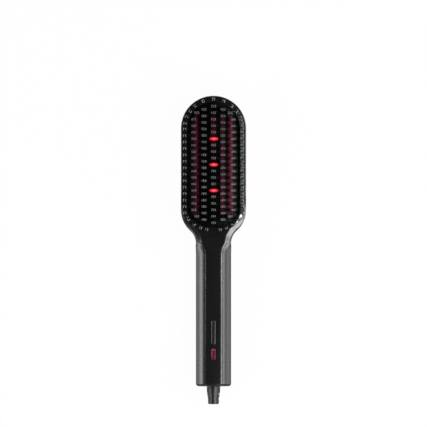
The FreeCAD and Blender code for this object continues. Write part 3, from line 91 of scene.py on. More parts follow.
# %% [markdown]
# ## A finish
#
# Each material starts as a Principled BSDF and reads Object coordinates, so a pattern stays fixed to its
# piece and its scale is per metre. The class Finish holds one material. One method adds any node by its
# type, settings and inputs, and the few that most finishes need have a short method each.


# %% A finish: one material and its nodes
class Finish:
    def __init__(self, name):
        self.material = bpy.data.materials.new(name)
        self.material.use_nodes = True
        self.tree = self.material.node_tree
        self.surface = self.tree.nodes["Principled BSDF"]
        self.place = self.node("TexCoord", {}, {}, "Object")

    def connect(self, value, socket):
        if isinstance(value, Wire):
            self.tree.links.new(value.socket, socket)
        else:
            socket.default_value = value

    def node(self, kind, settings, values, out=0):
        """Adds a node: its settings first, then the values or links of its sockets."""
        made = self.tree.nodes.new("ShaderNode" + kind)
        for name, setting in settings.items():
            if name == "stops":
                self.set_stops(made.color_ramp, setting)
            else:
                setattr(made, name, setting)
        for key, value in values.items():
            self.connect(value, made.inputs[key])
        return Wire(self, made.outputs[out])

    @staticmethod
    def set_stops(ramp, stops):
        while len(ramp.elements) < len(stops):
            ramp.elements.new(0.5)
        for element, (position, colour) in zip(ramp.elements, stops):
            element.position = position
            element.color = colour

    def noise(self, scale, detail, roughness=0.5, place=None):
        values = {"Vector": place or self.place, "Scale": scale, "Detail": detail, "Roughness": roughness}
        return self.node("TexNoise", {}, values, "Fac")

    def stretched_noise(self, scales, detail):
        """Noise with a scale of its own along each axis."""
        place = self.node("Mapping", {}, {"Vector": self.place, "Scale": scales})
        return self.noise(1.0, detail, place=place)

    def ramp(self, value, stops):
        return self.node("ValToRGB", {"stops": stops}, {"Fac": value}, "Color")

    def mix(self, factor, first, second):
        return self.node("Mix", {"data_type": "RGBA"}, {0: factor, 6: first, 7: second}, 2)

    def bump(self, height, distance):
        values = {"Height": height, "Distance": distance, "Strength": 1.0}
        return self.node("Bump", {}, values, "Normal")

    def set(self, **sockets):
        """Sets sockets of the surface by name, and returns the material."""
        for name, value in sockets.items():
            self.connect(value, self.surface.inputs[name.replace("_", " ")])
        return self.material


def opaque(red, green, blue):
    """A colour with full alpha."""
    return (red, green, blue, 1.0)


def shade(colour, factor):
    """A colour made lighter or darker."""
    return opaque(*(min(1.0, channel * factor) for channel in colour[:3]))


print("a finish can make:", [name for name in vars(Finish) if not name.startswith("_")])


# %% [markdown]
# ## Moulded plastic
#
# Glossy black mouldings are never one flat black. The mould leaves a very fine orange-peel, handling
# leaves patches that are a little duller, and fine scratches run mostly along the handle. So the
# colour, the roughness and the surface's height mix patterns of quite different scales.


# %% Plastics
LACQUER = 0.75
COAT_ROUGHNESS = 0.06
PEEL = 0.000004


def moulded(name, colour, gloss, wear, shine=LACQUER, coat=0.0):
    """Glossy moulded plastic with faint handling marks."""
    finish = Finish(name)
    patches = finish.noise(28.0, 4.0)
    streaks = finish.stretched_noise((900.0, 30.0, 900.0), 2.0)
    fine = finish.noise(900.0, 2.0)
    tone = finish.mix(patches, shade(colour, 0.8), shade(colour, 1.25))
    roughness = gloss + (patches - 0.5) * wear + (streaks - 0.5) * wear
    height = fine + streaks * 0.4
    finish.set(Specular_IOR_Level=shine, Coat_Weight=coat, Coat_Roughness=COAT_ROUGHNESS)
    return finish.set(Base_Color=tone, Roughness=roughness, Normal=finish.bump(height, PEEL))


def matt(name, colour, roughness, grain=1400.0, depth=0.00002):
    """Plain technical plastic or silicone with a fine eroded grain."""
    finish = Finish(name)
    cloud = finish.noise(60.0, 3.0)
    grit = finish.noise(grain, 4.0, 0.65)
    tone = finish.mix(cloud, shade(colour, 0.82), shade(colour, 1.15))
    roughness = roughness + (grit - 0.5) * 0.2
    return finish.set(Base_Color=tone, Roughness=roughness, Normal=finish.bump(grit, depth))


print("orange-peel of glossy plastic in thousandths of a millimetre:", round(PEEL / MM * 1000))


# %% [markdown]
# ## Metals
#
# Sheet and turned parts show the way that they were made: long rolling or turning marks in one
# direction. A noise that is stretched along that direction gives them, in the roughness and in a
# shallow bump. A sprayed coat has an even, very fine texture instead.


# %% Metals
MARKS = (60.0, 3000.0, 3000.0)


def metal(name, colour, roughness=0.32, along=MARKS):
    """Bare metal, with its marks along the axis that has the smallest scale."""
    finish = Finish(name)
    marks = finish.stretched_noise(along, 3.0)
    stain = finish.noise(70.0, 3.0)
    tone = finish.mix(stain, shade(colour, 0.8), shade(colour, 1.1))
    height = finish.bump(marks, 0.00001)
    return finish.set(Base_Color=tone, Metallic=1.0, Roughness=roughness + (marks - 0.5) * 0.2, Normal=height)


def coated(name, colour, glow, gloss, shine):
    """A sprayed dark coat, with the red light of the lamps painted onto it as an emitted glow."""
    finish = Finish(name)
    spray = finish.noise(2600.0, 3.0, 0.6)
    cloud = finish.noise(90.0, 2.0)
    tone = finish.mix(cloud, shade(colour, 0.75), shade(colour, 1.3))
    # The glow is painted red light from the lamps, emitted by the coat itself.
    finish.set(Specular_IOR_Level=shine, Emission_Color=glow(finish), Emission_Strength=1.0)
    roughness = gloss + (spray - 0.5) * 0.16
    return finish.set(Base_Color=tone, Roughness=roughness, Normal=finish.bump(spray, 0.000012))


print("marks on bare metal are", round(MARKS[1] / MARKS[0]), "times as long as they are wide")


# %% [markdown]
# ## Circuit board
#
# A solder mask is green lacquer over copper tracks. The tracks show as slightly lighter, raised
# lines. A Brick texture has the right look: long thin lines with the odd cross-connection.


# %% Circuit board
TRACK_SCALE = 260.0
TRACK_ROW = 0.28


def solder_mask(name):
    """Green lacquer over raised tracks."""
    finish = Finish(name)
    values = {
        "Vector": finish.place, "Scale": TRACK_SCALE, "Mortar Size": 0.05,
        "Brick Width": 0.9, "Row Height": TRACK_ROW,
    }
    tracks = finish.node("TexBrick", {}, values, "Fac")
    cloud = finish.noise(200.0, 2.0)
    tone = finish.mix(tracks, opaque(0.016, 0.11, 0.045), opaque(0.04, 0.19, 0.08))
    return finish.set(Base_Color=tone, Roughness=0.3 + cloud * 0.1, Normal=finish.bump(tracks, 0.00003))


print("tracks lie", round(TRACK_ROW / TRACK_SCALE / MM, 2), "mm apart")


# %% [markdown]
# ## A rounded copy of a solid
#
# The packed solids are loose triangles with knife-sharp edges, and a real moulding has none: each
# edge has a small round that shows as a thin line of light. So a solid that shows is dressed in a copy
# of itself. The copy's doubles are merged, its flat areas become single faces, and a narrow Bevel goes
# round its sharp edges. The solid itself stays as it is and is only hidden.


# %% Objects and their materials
def linked(name, data):
    """A new object in the scene."""
    made = bpy.data.objects.new(name, data)
    bpy.context.scene.collection.objects.link(made)
    return made


def paint(data, material):
    """Makes one material the only one of a mesh."""
    data.materials.clear()
    data.materials.append(material)


def dress(material, *names):
    """Gives CAD nodes that stay as they are their finish."""
    for name in names:
        paint(frame["nodes"][name].data, material)


print("nodes that can be dressed:", len(frame["nodes"]))


# %% Copies that can be shaped
WELD = 0.002 * MM
FLAT = math.radians(0.4)


def merged_copy(node, name):
    """A node's mesh with its doubles merged and its flat areas made single faces."""
    mesh = bmesh.new()
    mesh.from_mesh(frame["nodes"][node].data)
    bmesh.ops.remove_doubles(mesh, verts=mesh.verts, dist=WELD)
    bmesh.ops.dissolve_degenerate(mesh, edges=mesh.edges, dist=WELD)
    bmesh.ops.dissolve_limit(mesh, angle_limit=FLAT, verts=mesh.verts, edges=mesh.edges)
    bmesh.ops.recalc_face_normals(mesh, faces=mesh.faces)
    for face in mesh.faces:
        face.smooth = True
    data = bpy.data.meshes.new(name)
    mesh.to_mesh(data)
    mesh.free()
    return data


def reshape(data, shape):
    """Lets the function shape alter a mesh."""
    mesh = bmesh.new()
    mesh.from_mesh(data)
    shape(mesh)
    mesh.to_mesh(data)
    mesh.free()


print("corners closer than", round(WELD / MM, 3), "mm become one")


def body_of(node):
    """The body that a node belongs to."""
    for body, names in frame["record"]["behaviour"]["bodies"].items():
        if node in names:
            return body
    raise KeyError(node)


def rounded(node, material, edge, segments=2, angle=28.0, shape=None):
    """Dresses a node in a copy of itself with rounded edges; shape may alter the copy first."""
    name = f"{node}_moulding"
    piece = linked(name, merged_copy(node, name))
    if shape:
        reshape(piece.data, shape)
    paint(piece.data, material)
    piece.data.set_sharp_from_angle(angle=math.radians(angle))
    if edge:
        bevel = piece.modifiers.new("edge", "BEVEL")
        bevel.width = edge * MM
        bevel.segments = segments
        bevel.limit_method = "ANGLE"
        bevel.angle_limit = math.radians(angle)
        bevel.harden_normals = True
        bevel.use_clamp_overlap = True
    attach(piece, body_of(node))
    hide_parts(node)
    return piece


# %% [markdown]
# ## The case
#
# Two glossy black half shells. The front one has a flat strip along the handle between two wide
# facets, and runs out into the head through a round shoulder. The next cells give its copy the two
# small forms that a gloss surface shows at once: crowned facets and sloping shoulders.

# %% Measures of the front shell
CASE_TOP = 30.0 * MM
STRIP = 6.8 * MM
FACET = 10.8 * MM
FALL = math.radians(30.0)
RUN_OUT = 22.0 * MM
RUN_OUT_START = -5.2 * MM
print("facet falls", round(FACET * math.tan(FALL) / MM, 2), "mm over", round(FACET / MM, 1), "mm")

# %% [markdown]
# ### Soft steps and cuts
#
# A flat face is a single polygon and can't bend. So before a face gets its crown or its slope it is cut
# along a grid of lines, and then its corners move. Subdividing would cut it too, but along the long
# triangles that it falls into, so bisect_plane cuts it at chosen places instead. Where a form has to
# end without a crease, a soft step fades it out.

# %% Soft steps and cuts
CUT_TOLERANCE = 0.00001


def step(value, low, high):
    """Zero up to low, one from high, and a smooth rise between."""
    share = min(1.0, max(0.0, (value - low) / (high - low)))
    return share * share * (3 - 2 * share)


def steps_of(first, last, pitch):
    """Evenly spaced places in metres; first, last and pitch are in millimetres."""
    return [(first + pitch * number) * MM for number in range(int((last - first) / pitch) + 1)]


def both_sides(lines):
    """Lines at the same distances to the left and to the right of the middle."""
    return [side * line for side in (-1, 1) for line in lines]


def cut_grid(mesh, faces, xs, ys):
    """Cuts faces along lines at the given places, so that they can be bent."""
    faces = bmesh.ops.triangulate(mesh, faces=faces)["faces"]
    cuts = [((x, 0, 0), (1, 0, 0)) for x in xs] + [((0, y, 0), (0, 1, 0)) for y in ys]
    for place, normal in cuts:
        edges = {edge for face in faces for edge in face.edges}
        corners = {corner for face in faces for corner in face.verts}
        made = bmesh.ops.bisect_plane(
            mesh, geom=[*faces, *edges, *corners], plane_co=place, plane_no=normal, dist=CUT_TOLERANCE,
        )
        faces = [part for part in made["geom"] if isinstance(part, bmesh.types.BMFace)]


print("a soft step at a quarter, a half and three quarters:", [step(part, 0, 4) for part in (1, 2, 3)])


# %% [markdown]
# ### Crowned facets
#
# A moulded facet is never quite flat. A flat mirror shows one even tone, and a crown of well under a
# millimetre spreads the reflection of a lamp into a soft band along the handle. The corners between
# the cuts are pushed out along the facet's own normal, most near its middle and not at all at its rims.
# A second, lower lift rises quickly next to the strip, and gives the thin line of light beside it.

# %% Crowned facets
CROWN = 0.6 * MM
LIP = 0.35 * MM
LIP_REACH = 0.1
RIM = 0.004
OFF_FACET = 0.12 * MM
FACET_NORMALS = (0.80, 0.93)
FACET_END = 0.016
FACET_FOOT = 0.022
FACET_ACROSS = both_sides(steps_of(7.2, 17.2, 0.8))
FACET_ALONG = steps_of(-14.0, 14.0, 1.4)


def facet_share(place):
    """How far a point lies across its facet, from 0 at the strip to 1, and the way down the fall."""
    side = math.copysign(1.0, place.x)
    if place.y < RUN_OUT_START:
        return (abs(place.x) - STRIP) / FACET, Vector((side, 0, 0))
    spoke = Vector((side * (STRIP + RUN_OUT) - place.x, RUN_OUT_START - place.y, 0))
    return (RUN_OUT - spoke.length) / FACET, spoke.normalized()


def is_facet(face):
    """Whether a face lies on one of the handle's facets."""
    middle = face.calc_center_median()
    falls = FACET_NORMALS[0] < face.normal.z < FACET_NORMALS[1]
    return falls and middle.y < FACET_END and middle.z > FACET_FOOT


def crown_facets(mesh):
    """Bulges the two facets of the handle by a hair, with a small lift next to the strip."""
    cut_grid(mesh, [face for face in mesh.faces if is_facet(face)], FACET_ACROSS, FACET_ALONG)
    moved = 0
    for corner in mesh.verts:
        share, down = facet_share(corner.co)
        level = CASE_TOP - share * FACET * math.tan(FALL)
        if not RIM < share < 1 - RIM or abs(corner.co.z - level) > OFF_FACET:
            continue
        push = CROWN * 4 * share * (1 - share) + LIP * (1 - math.exp(-share / LIP_REACH)) * (1 - share)
        corner.co.z = level + push * math.cos(FALL)
        corner.co += down * push * math.sin(FALL)
        moved += 1
    return moved


print("the facets are cut along", len(FACET_ACROSS), "lines lengthways and", len(FACET_ALONG), "across")


# %% [markdown]
# ### Sloping shoulders
#
# Below the comb field the face falls towards the outline, round the head's lower corner and on into
# the hollow of the neck. How far a point lies in from the outline is its distance to one of two arcs,
# and the face falls evenly over the last 6.5 mm. Towards the head's straight sides the fall fades out.

# %% Measures of the shoulders
CORNER = Vector((4.6, 40.0)) * MM
CORNER_RADIUS = 28.0 * MM
HOLLOW = Vector((34.6, 6.46)) * MM
HOLLOW_RADIUS = 17.0 * MM
SLOPE = math.tan(math.radians(17.0))
SLOPE_WIDTH = 6.5 * MM
SLOPE_START = 0.004
SLOPE_END = 0.058
SLOPE_NORMAL = 0.6
SLOPE_DEPTH = 0.0055
SLOPE_ACROSS = both_sides(steps_of(8.0, 32.6, 1.2))
SLOPE_ALONG = steps_of(3.0, SLOPE_END / MM, 1.2)
ABOVE_TOP = 0.0001
CASE_DEPTH = 0.006
CASE_FADE = (0.038, SLOPE_END)
GUARD_TOP = 28.8 * MM
GUARD_DEPTH = 0.0002
GUARD_FADE = (0.033, 0.038)
gap = abs((HOLLOW - CORNER).length - CORNER_RADIUS - HOLLOW_RADIUS)
print("gap between the two arcs in mm:", round(gap / MM, 2))


# %% Sloping shoulders
def from_outline(place):
    """Distance in from the outline, round a lower corner of the head and into the neck."""
    spot = Vector((abs(place.x), place.y))
    between = HOLLOW - CORNER
    if between.x * (spot.y - CORNER.y) - between.y * (spot.x - CORNER.x) > 0:
        return CORNER_RADIUS - (spot - CORNER).length
    return (spot - HOLLOW).length - HOLLOW_RADIUS


def sloped_level(place, top, fade):
    """Height of the face where it falls towards the outline."""
    inside = min(SLOPE_WIDTH, max(0.0, from_outline(place)))
    return top - (SLOPE_WIDTH - inside) * SLOPE * (1 - step(place.y, *fade))


def is_shoulder(face, top):
    """Whether a face points up, lies near the top and reaches into the sloped stretch."""
    return (
        face.normal.z > SLOPE_NORMAL and face.calc_center_median().z > top - SLOPE_DEPTH
        and any(SLOPE_START < corner.co.y < SLOPE_END for corner in face.verts)
    )


def slope_shoulders(mesh, top, depth, fade):
    """Lets the top face of a piece, and what lies up to depth below it, fall towards the outline."""
    cut_grid(mesh, [face for face in mesh.faces if is_shoulder(face, top)], SLOPE_ACROSS, SLOPE_ALONG)
    moved = 0
    for corner in mesh.verts:
        if 0.0 < corner.co.y < SLOPE_END and top - depth < corner.co.z < top + ABOVE_TOP:
            level = min(corner.co.z, sloped_level(corner.co, top, fade))
            moved += level < corner.co.z
            corner.co.z = level
    return moved


def case_shape(mesh):
    print("corners moved on the facets:", crown_facets(mesh))
    print("corners moved on the shoulders:", slope_shoulders(mesh, CASE_TOP, CASE_DEPTH, CASE_FADE))


def guard_shape(mesh):
    print("corners moved on the guard:", slope_shoulders(mesh, GUARD_TOP, GUARD_DEPTH, GUARD_FADE))


print("the shoulders fall by", round(SLOPE_WIDTH * SLOPE / MM, 1), "mm at the outline")


# %% Case
black_gloss = moulded("black_gloss", opaque(0.0035, 0.0035, 0.0037), 0.22, wear=0.03)
black_back = moulded("black_back", opaque(0.005, 0.005, 0.0053), 0.33, wear=0.1)
front = rounded("front_shell", black_gloss, 0.35, 3, angle=17.0, shape=case_shape)
rounded("rear_shell", black_back, 0.25)
print("faces of the front shell before its edges are rounded:", len(front.data.polygons))
dress(matt("plug_black", opaque(0.012, 0.012, 0.012), 0.6), "screw_plugs")

# %% [markdown]
# ## Comb field
#
# The guard ring is glossy black nylon, the plate and its teeth have a dark ceramic coat, and the tips
# are glossy caps. The lamps under the plate light the flanks of the teeth a dull red, and that light is
# painted into the coats as an emitted glow. It follows the columns, so it is written as bands along the
# field, times a patchy noise that lets some teeth catch more of it than others.
#
# Each band is its middle and the two distances from there between which its light fades, in metres.
# The middle column's band lies about zero, so it has only the two distances.

# %% Red light between the teeth
RED_LIGHT = opaque(0.115, 0.003, 0.020)
FIELD_MIDDLE = 0.0853
OUTER_BAND = (0.0172, 0.0011, 0.0027)
RIGHT_BAND = (0.0092, 0.001, 0.0032)
MIDDLE_BAND = (0.001, 0.0036)
OUTER_LIGHT, LEFT_LOSS, RIGHT_LIGHT, MIDDLE_LIGHT = 1.3, 0.5, 0.55, 0.5
UPPER_PART = (0.126, 0.012, 0.032)
WHOLE_FIELD = (FIELD_MIDDLE, 0.042, 0.052)
SIDE_BLEND = 0.002
TOOTH_HEIGHTS = (0.0395, 0.0445)


def axis(finish, letter):
    """One coordinate of the place on the piece, in metres."""
    return finish.node("SeparateXYZ", {}, {"Vector": finish.place}, letter)


def fall_off(finish, value, near, far):
    """One up to near, and smoothly down to zero at far."""
    values = {"Value": value, "From Min": near, "From Max": far, "To Min": 1.0, "To Max": 0.0}
    return finish.node("MapRange", {"interpolation_type": "SMOOTHSTEP"}, values)


def band(finish, value, middle, near, far):
    """One up to near from the middle, and smoothly down to zero at far from it."""
    return fall_off(finish, (value - middle).math("ABSOLUTE"), near, far)


def red_glow(strength):
    """Painted lamp light on the teeth: outer columns, more so on the right, and some of the inner ones."""
    def colour(finish):
        side, along, height = (axis(finish, letter) for letter in "XYZ")
        across = side.math("ABSOLUTE")
        left = fall_off(finish, side, -SIDE_BLEND, SIDE_BLEND)
        outer = band(finish, across, *OUTER_BAND) * (OUTER_LIGHT - left * LEFT_LOSS)
        right = band(finish, side, *RIGHT_BAND) * RIGHT_LIGHT
        middle = fall_off(finish, across, *MIDDLE_BAND) * band(finish, along, *UPPER_PART) * MIDDLE_LIGHT
        patches = finish.noise(85.0, 2.0) * 1.5 - 0.15
        level = (outer + right + middle) * band(finish, along, *WHOLE_FIELD) * patches
        level = level * fall_off(finish, height, *TOOTH_HEIGHTS)
        # The painted red light: mixed from black to red by the bands, and none above the teeth.
        return finish.mix(level, opaque(0, 0, 0), shade(RED_LIGHT, strength))
    return colour


print("red bands at", [place[0] / MM for place in (OUTER_BAND, RIGHT_BAND)], "mm from the middle")

# %% Comb field
guard_black = moulded("guard_black", opaque(0.003, 0.0034, 0.0034), 0.15, wear=0.05, shine=1.0, coat=1.0)
tip_black = coated("tip_black", opaque(0.003, 0.0022, 0.0025), red_glow(0.6), 0.13, 0.9)
plate_coat = coated("plate_coat", opaque(0.0012, 0.0028, 0.0020), red_glow(0.9), 0.35, 0.12)
tooth_coat = coated("tooth_coat", opaque(0.003, 0.0015, 0.002), red_glow(1.1), 0.3, 0.2)
rounded("guard_frame", guard_black, 0.85, 4, shape=guard_shape)
rounded("heater_plate", plate_coat, 0.2)
rounded("heating_teeth", tooth_coat, 0.25)
rounded("tooth_tips", tip_black, 0.3)
print("comb field dressed:", len(guard_black.node_tree.nodes), "nodes in the guard's material")

# %% [markdown]
# ## Lamps
#
# Each lens is clear red plastic with an LED under it, so it is brightest in its middle and deeper
# red towards its rim. The three lenses are evenly spaced, with the second in the middle of the field:
# wrapping the place along the field into one spacing lets a single pattern serve all three.

# %% Lamps
LAMP_STEP = 0.02582
SPOT_PLACE = 0.0004
SPOT_WIDTH = 0.0046
SPOT_LENGTH = 0.0020
LENS_TONES = [
    (0.0, opaque(1.0, 0.13, 0.15)), (0.3, opaque(0.95, 0.02, 0.05)),
    (0.75, opaque(0.45, 0.004, 0.018)), (1.0, opaque(0.05, 0.001, 0.004)),
]


def lamp_red():
    """Clear red lens with a lit oval in its middle."""
    finish = Finish("lamp_red")
    across = axis(finish, "X") - SPOT_PLACE
    along = (axis(finish, "Y") - FIELD_MIDDLE).math("WRAP", LAMP_STEP / 2, -LAMP_STEP / 2)
    off_centre = across * across * (1 / SPOT_WIDTH ** 2) + along * along * (1 / SPOT_LENGTH ** 2)
    tone = finish.ramp(off_centre, LENS_TONES)
    ripple = finish.noise(420.0, 2.0)
    finish.set(Emission_Color=tone, Emission_Strength=0.75, Coat_Weight=0.6)
    return finish.set(Base_Color=tone, Roughness=0.1 + ripple * 0.08, Normal=finish.bump(ripple, 0.00002))


lenses = rounded("lamp_lenses", lamp_red(), 0.0)
print("lens faces:", len(lenses.data.polygons), "spacing in mm:", round(LAMP_STEP / MM, 2))

# %% [markdown]
# ## Buttons
#
# The long two-way button is polished black. The power button is dark red and lit from behind, so it
# is brightest along its left and upper edge, where the light leaks past it.

# %% Buttons
POWER_MIDDLE = -0.1046
LEFT_EDGE = (-0.0017, 0.0002, 0.0008)
UPPER_EDGE = (0.0050, 0.0003, 0.0012)
LEFT_FADE = (0.0, 0.005)


def lit_button():
    """Dark red cap with light along its left and upper edge."""
    finish = Finish("lit_button")
    along = axis(finish, "Y") - POWER_MIDDLE
    left = band(finish, axis(finish, "X"), *LEFT_EDGE) * fall_off(finish, 0.0 - along, *LEFT_FADE)
    lit = (left + band(finish, along, *UPPER_EDGE)).math("MINIMUM", 1.0)
    cloud = finish.noise(600.0, 2.0)
    tone = finish.mix(lit * (cloud * 0.5 + 0.5), opaque(0.06, 0.0005, 0.008), opaque(0.20, 0.04, 0.055))
    finish.set(Emission_Color=tone, Emission_Strength=0.4)
    return finish.set(Base_Color=tone, Roughness=0.22 + cloud * 0.1, Normal=finish.bump(cloud, 0.00001))


button_black = moulded("button_black", opaque(0.010, 0.010, 0.0105), 0.14, wear=0.04, shine=1.0)
rounded("rocker_button", button_black, 0.6, 4)
rounded("power_button", lit_button(), 0.3, 3)
print("buttons ride on:", body_of("rocker_button"), "and", body_of("power_button"))

# %% [markdown]
# ## Cord end and stopper
#
# The sleeve is soft black rubber with rib slots, and the stopper of the water filler is silicone. Both
# are duller than the case, with a fine grain that is far too small to model, so a Bump node gives it.

# %% Cord end and stopper
sleeve_black = matt("sleeve_black", opaque(0.005, 0.005, 0.0053), 0.36, depth=0.000006)
rounded("cord_sleeve", sleeve_black, 0.25)
rounded("swivel_collar", matt("collar_black", opaque(0.012, 0.012, 0.013), 0.4), 0.15)
rounded("filler_plug", matt("stopper_black", opaque(0.02, 0.02, 0.021), 0.5), 0.2)

# %% [markdown]
# ## Inside
#
# What lies inside the case hardly shows, but it is finished too, for whoever opens the model. These
# nodes keep their own meshes, since no one would see that an edge is rounded, and only get a material.

# %% Inside
dress(solder_mask("board_green"), "main_board", "button_board", "lamp_board")
dress(metal("spring_steel", opaque(0.50, 0.50, 0.52)), "clamp_springs", "power_springs", "rocker_springs")
zinc_steel = metal("zinc_steel", opaque(0.55, 0.55, 0.54), 0.28)
dress(zinc_steel, "case_screws", "plate_screws", "board_screws", "rocker_pin")
dress(metal("sheet_aluminium", opaque(0.76, 0.76, 0.77), 0.38, (3000.0, 60.0, 3000.0)), "heat_shield")
dress(metal("cast_aluminium", opaque(0.62, 0.62, 0.63), 0.48, (1500.0, 1500.0, 1500.0)), "steam_chamber")
dress(metal("plated_brass", opaque(0.78, 0.66, 0.40), 0.26), "heater_tabs", "contact_fingers", "thermal_fuse")
dress(metal("ring_copper", opaque(0.80, 0.47, 0.28), 0.22), "slip_rings")
dress(matt("heater_ceramic", opaque(0.62, 0.60, 0.55), 0.7), "heater_strips")
dress(matt("pressed_mica", opaque(0.60, 0.52, 0.34), 0.45, 300.0, 0.00006), "mica_sheets")
dress(matt("tank_plastic", opaque(0.60, 0.68, 0.74), 0.3), "water_tank")
dress(matt("pump_plastic", opaque(0.72, 0.71, 0.66), 0.4), "water_pump")
dress(matt("red_silicone", opaque(0.45, 0.10, 0.06), 0.5), "suction_hose", "steam_hose", "steam_gasket")
dress(matt("relay_blue", opaque(0.03, 0.10, 0.32), 0.4), "relay")
dress(matt("capacitor_yellow", opaque(0.55, 0.36, 0.04), 0.4), "capacitor")
dress(matt("chip_black", opaque(0.01, 0.01, 0.01), 0.5), "control_chip", "key_switches")
dress(matt("carrier_grey", opaque(0.06, 0.06, 0.065), 0.5), "button_carrier")
dress(matt("spacer_nylon", opaque(0.62, 0.60, 0.54), 0.45), "lamp_board_spacers", "contact_block")
dress(matt("amber_bead", opaque(0.55, 0.20, 0.03), 0.2), "thermistor")
dress(matt("fuse_glass", opaque(0.70, 0.76, 0.76), 0.12), "line_fuse")
dress(matt("led_epoxy", opaque(0.75, 0.62, 0.45), 0.25), "lamp_leds")
dress(matt("red_epoxy", opaque(0.60, 0.04, 0.03), 0.25), "power_light")
dress(matt("white_jacket", opaque(0.72, 0.72, 0.69), 0.4), "mains_leads", "heater_leads")
dress(matt("red_jacket", opaque(0.50, 0.03, 0.02), 0.4), "lamp_leads")
print("materials:", len(bpy.data.materials))

# %% [markdown]
# ## Studio
#
# The brush lies on white paper. A plain white plane would be grey wherever the lamps are weak, so this
# one also shines by itself, but only to the camera: the Light Path node tells which rays come from
# there, and a Mix Shader lets all others meet ordinary paper.

# %% Floor
FLOOR_REACH = 6.0
FLOOR_GLOW = 0.97


def make_floor():
    """White paper that the camera sees as almost pure white, whatever light falls on it."""
    mesh = bmesh.new()
    bmesh.ops.create_grid(mesh, x_segments=8, y_segments=8, size=FLOOR_REACH)
    data = bpy.data.meshes.new("floor")
    mesh.to_mesh(data)
    mesh.free()
    floor = linked("floor", data)
    finish = Finish("floor_white")
    speckle = finish.noise(300.0, 2.0)
    paper = finish.mix(speckle, opaque(0.80, 0.80, 0.80), opaque(0.84, 0.84, 0.84))
    finish.set(Base_Color=paper, Roughness=0.9)
    white = finish.node("Emission", {}, {"Color": opaque(1, 1, 1), "Strength": 1.0})
    seen = finish.node("LightPath", {}, {}, "Is Camera Ray") * FLOOR_GLOW
    blend = finish.node("MixShader", {}, {0: seen, 1: Wire(finish, finish.surface.outputs[0]), 2: white})
    finish.connect(blend, finish.tree.nodes["Material Output"].inputs["Surface"])
    paint(data, finish.material)


make_floor()
print("floor laid")

# %% [markdown]
# ### Lamps of the studio
#
# Glossy black shows nothing but reflections, so the lamps make the picture. The camera looks straight
# down, so a face that falls by some angle mirrors what stands at twice that angle from straight above.
# The handle's facets fall by 30 degrees and mirror two long softboxes at the sides, about 30 degrees
# up. The shoulders fall by 17 degrees: small lamps 56 degrees up on the right draw the bright band
# along the right one. The facets pass through the same angle beside the strip, where left_line and
# right_line draw a thin line. Both are too narrow to light much of the shoulders, so the left shoulder
# stays dark. The flat strip mirrors what is straight above, which is dim. A thin lamp close over the
# head's right side, which can't be seen from its back, puts a faint haze on the guard.


# %% Lamps of the studio
def softbox(name, place, target, width, height, radiance):
    """A rectangular lamp. Its power grows with its area, so its size leaves its brightness alone."""
    lamp = bpy.data.lights.new(name, "AREA")
    lamp.shape = "RECTANGLE"
    lamp.size = width
    lamp.size_y = height
    lamp.energy = radiance * math.pi * width * height
    box = linked(name, lamp)
    box.location = place
    aim = Vector(target) - Vector(place)
    box.rotation_euler = aim.to_track_quat("-Z", "Y").to_euler()
    return box


ABOUT = Vector((0, -0.02, 0.03))
SOFTBOXES = (
    # name, azimuth and elevation in degrees, distance, width, height, radiance
    ("left_box", 180, 27, 0.95, 1.1, 0.22, 5.2),
    ("left_low", 180, 11, 0.95, 1.1, 0.16, 2.4),
    ("left_corner", 217, 38, 0.95, 0.22, 0.30, 5.0),
    ("left_line", 180, 57, 0.95, 0.12, 0.06, 8.0),
    ("right_box", 0, 38, 0.95, 1.1, 0.16, 5.4),
    ("right_low", 0, 17, 0.95, 1.1, 0.30, 2.5),
    ("right_corner", -42, 34, 0.95, 0.5, 0.20, 5.2),
    ("right_line", -6, 57, 0.95, 0.30, 0.10, 3.6),
    ("shoulder_top", 6, 56, 0.95, 0.17, 0.17, 11.0),
    ("shoulder_upper", -32, 56, 0.95, 0.30, 0.17, 13.5),
    ("shoulder_lower", -64, 56, 0.95, 0.28, 0.17, 7.0),
    ("head_box", 90, 30, 1.0, 0.9, 0.12, 6.5),
)
STRIP_PLACE = Vector((0.0315, 0.093, 0.165))
STRIP_TINT = (0.86, 1.0, 0.96)
DOWN = Vector((0, 0, -1))

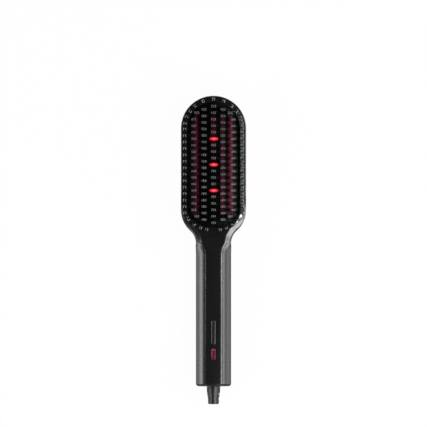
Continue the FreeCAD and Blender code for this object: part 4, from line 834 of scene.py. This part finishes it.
for name, azimuth, elevation, distance, width, height, radiance in SOFTBOXES:
    level, turn = math.radians(elevation), math.radians(azimuth)
    reach = distance * math.cos(level)
    place = ABOUT + Vector((reach * math.cos(turn), reach * math.sin(turn), distance * math.sin(level)))
    softbox(name, place, ABOUT, width, height, radiance)
head_strip = softbox("head_strip", STRIP_PLACE, STRIP_PLACE + DOWN, width=0.005, height=0.105, radiance=2.55)
head_strip.data.color = STRIP_TINT
power = sum(lamp.energy for lamp in bpy.data.lights)
print("lamps:", len(bpy.data.lights), "power in watts:", round(power, 2))

# %% [markdown]
# ### World
#
# Past the paper's edge the camera sees the world, which is white too. A white world would also light
# the brush and turn its black to grey, so every other ray meets a nearly dark one.

# %% World
WORLD_LIGHT = opaque(0.05, 0.05, 0.051)


def make_world():
    """White to the camera, and nearly dark to everything else."""
    world = bpy.data.worlds.new("studio")
    bpy.context.scene.world = world
    world.use_nodes = True
    tree = world.node_tree
    background = tree.nodes["Background"]
    path = tree.nodes.new("ShaderNodeLightPath")
    mix = tree.nodes.new("ShaderNodeMix")
    mix.data_type = "RGBA"
    mix.inputs[6].default_value = WORLD_LIGHT
    mix.inputs[7].default_value = opaque(1, 1, 1)
    tree.links.new(path.outputs["Is Camera Ray"], mix.inputs[0])
    tree.links.new(mix.outputs[2], background.inputs["Color"])
    background.inputs["Strength"].default_value = 1.0


make_world()
print("world made:", bpy.context.scene.world.name)

# %% [markdown]
# ## Camera
#
# Straight above, far away with a long lens, so that the teeth don't splay. The field is as wide as
# 427 millimetres at the height of the case's front.

# %% Camera
FIELD = 0.427
DISTANCE = 5.0
VIEW_CENTRE = Vector((0.0, 0.0365, 0.030))
camera_data = bpy.data.cameras.new("camera")
camera_data.sensor_width = 36.0
camera_data.lens = camera_data.sensor_width * DISTANCE / FIELD
camera_data.clip_end = 50.0
camera = linked("camera", camera_data)
camera.location = VIEW_CENTRE + Vector((0, 0, DISTANCE))
bpy.context.scene.camera = camera
bpy.context.scene.view_settings.view_transform = "Standard"
print("camera lens in mm:", round(camera_data.lens, 1))

# %% [markdown]
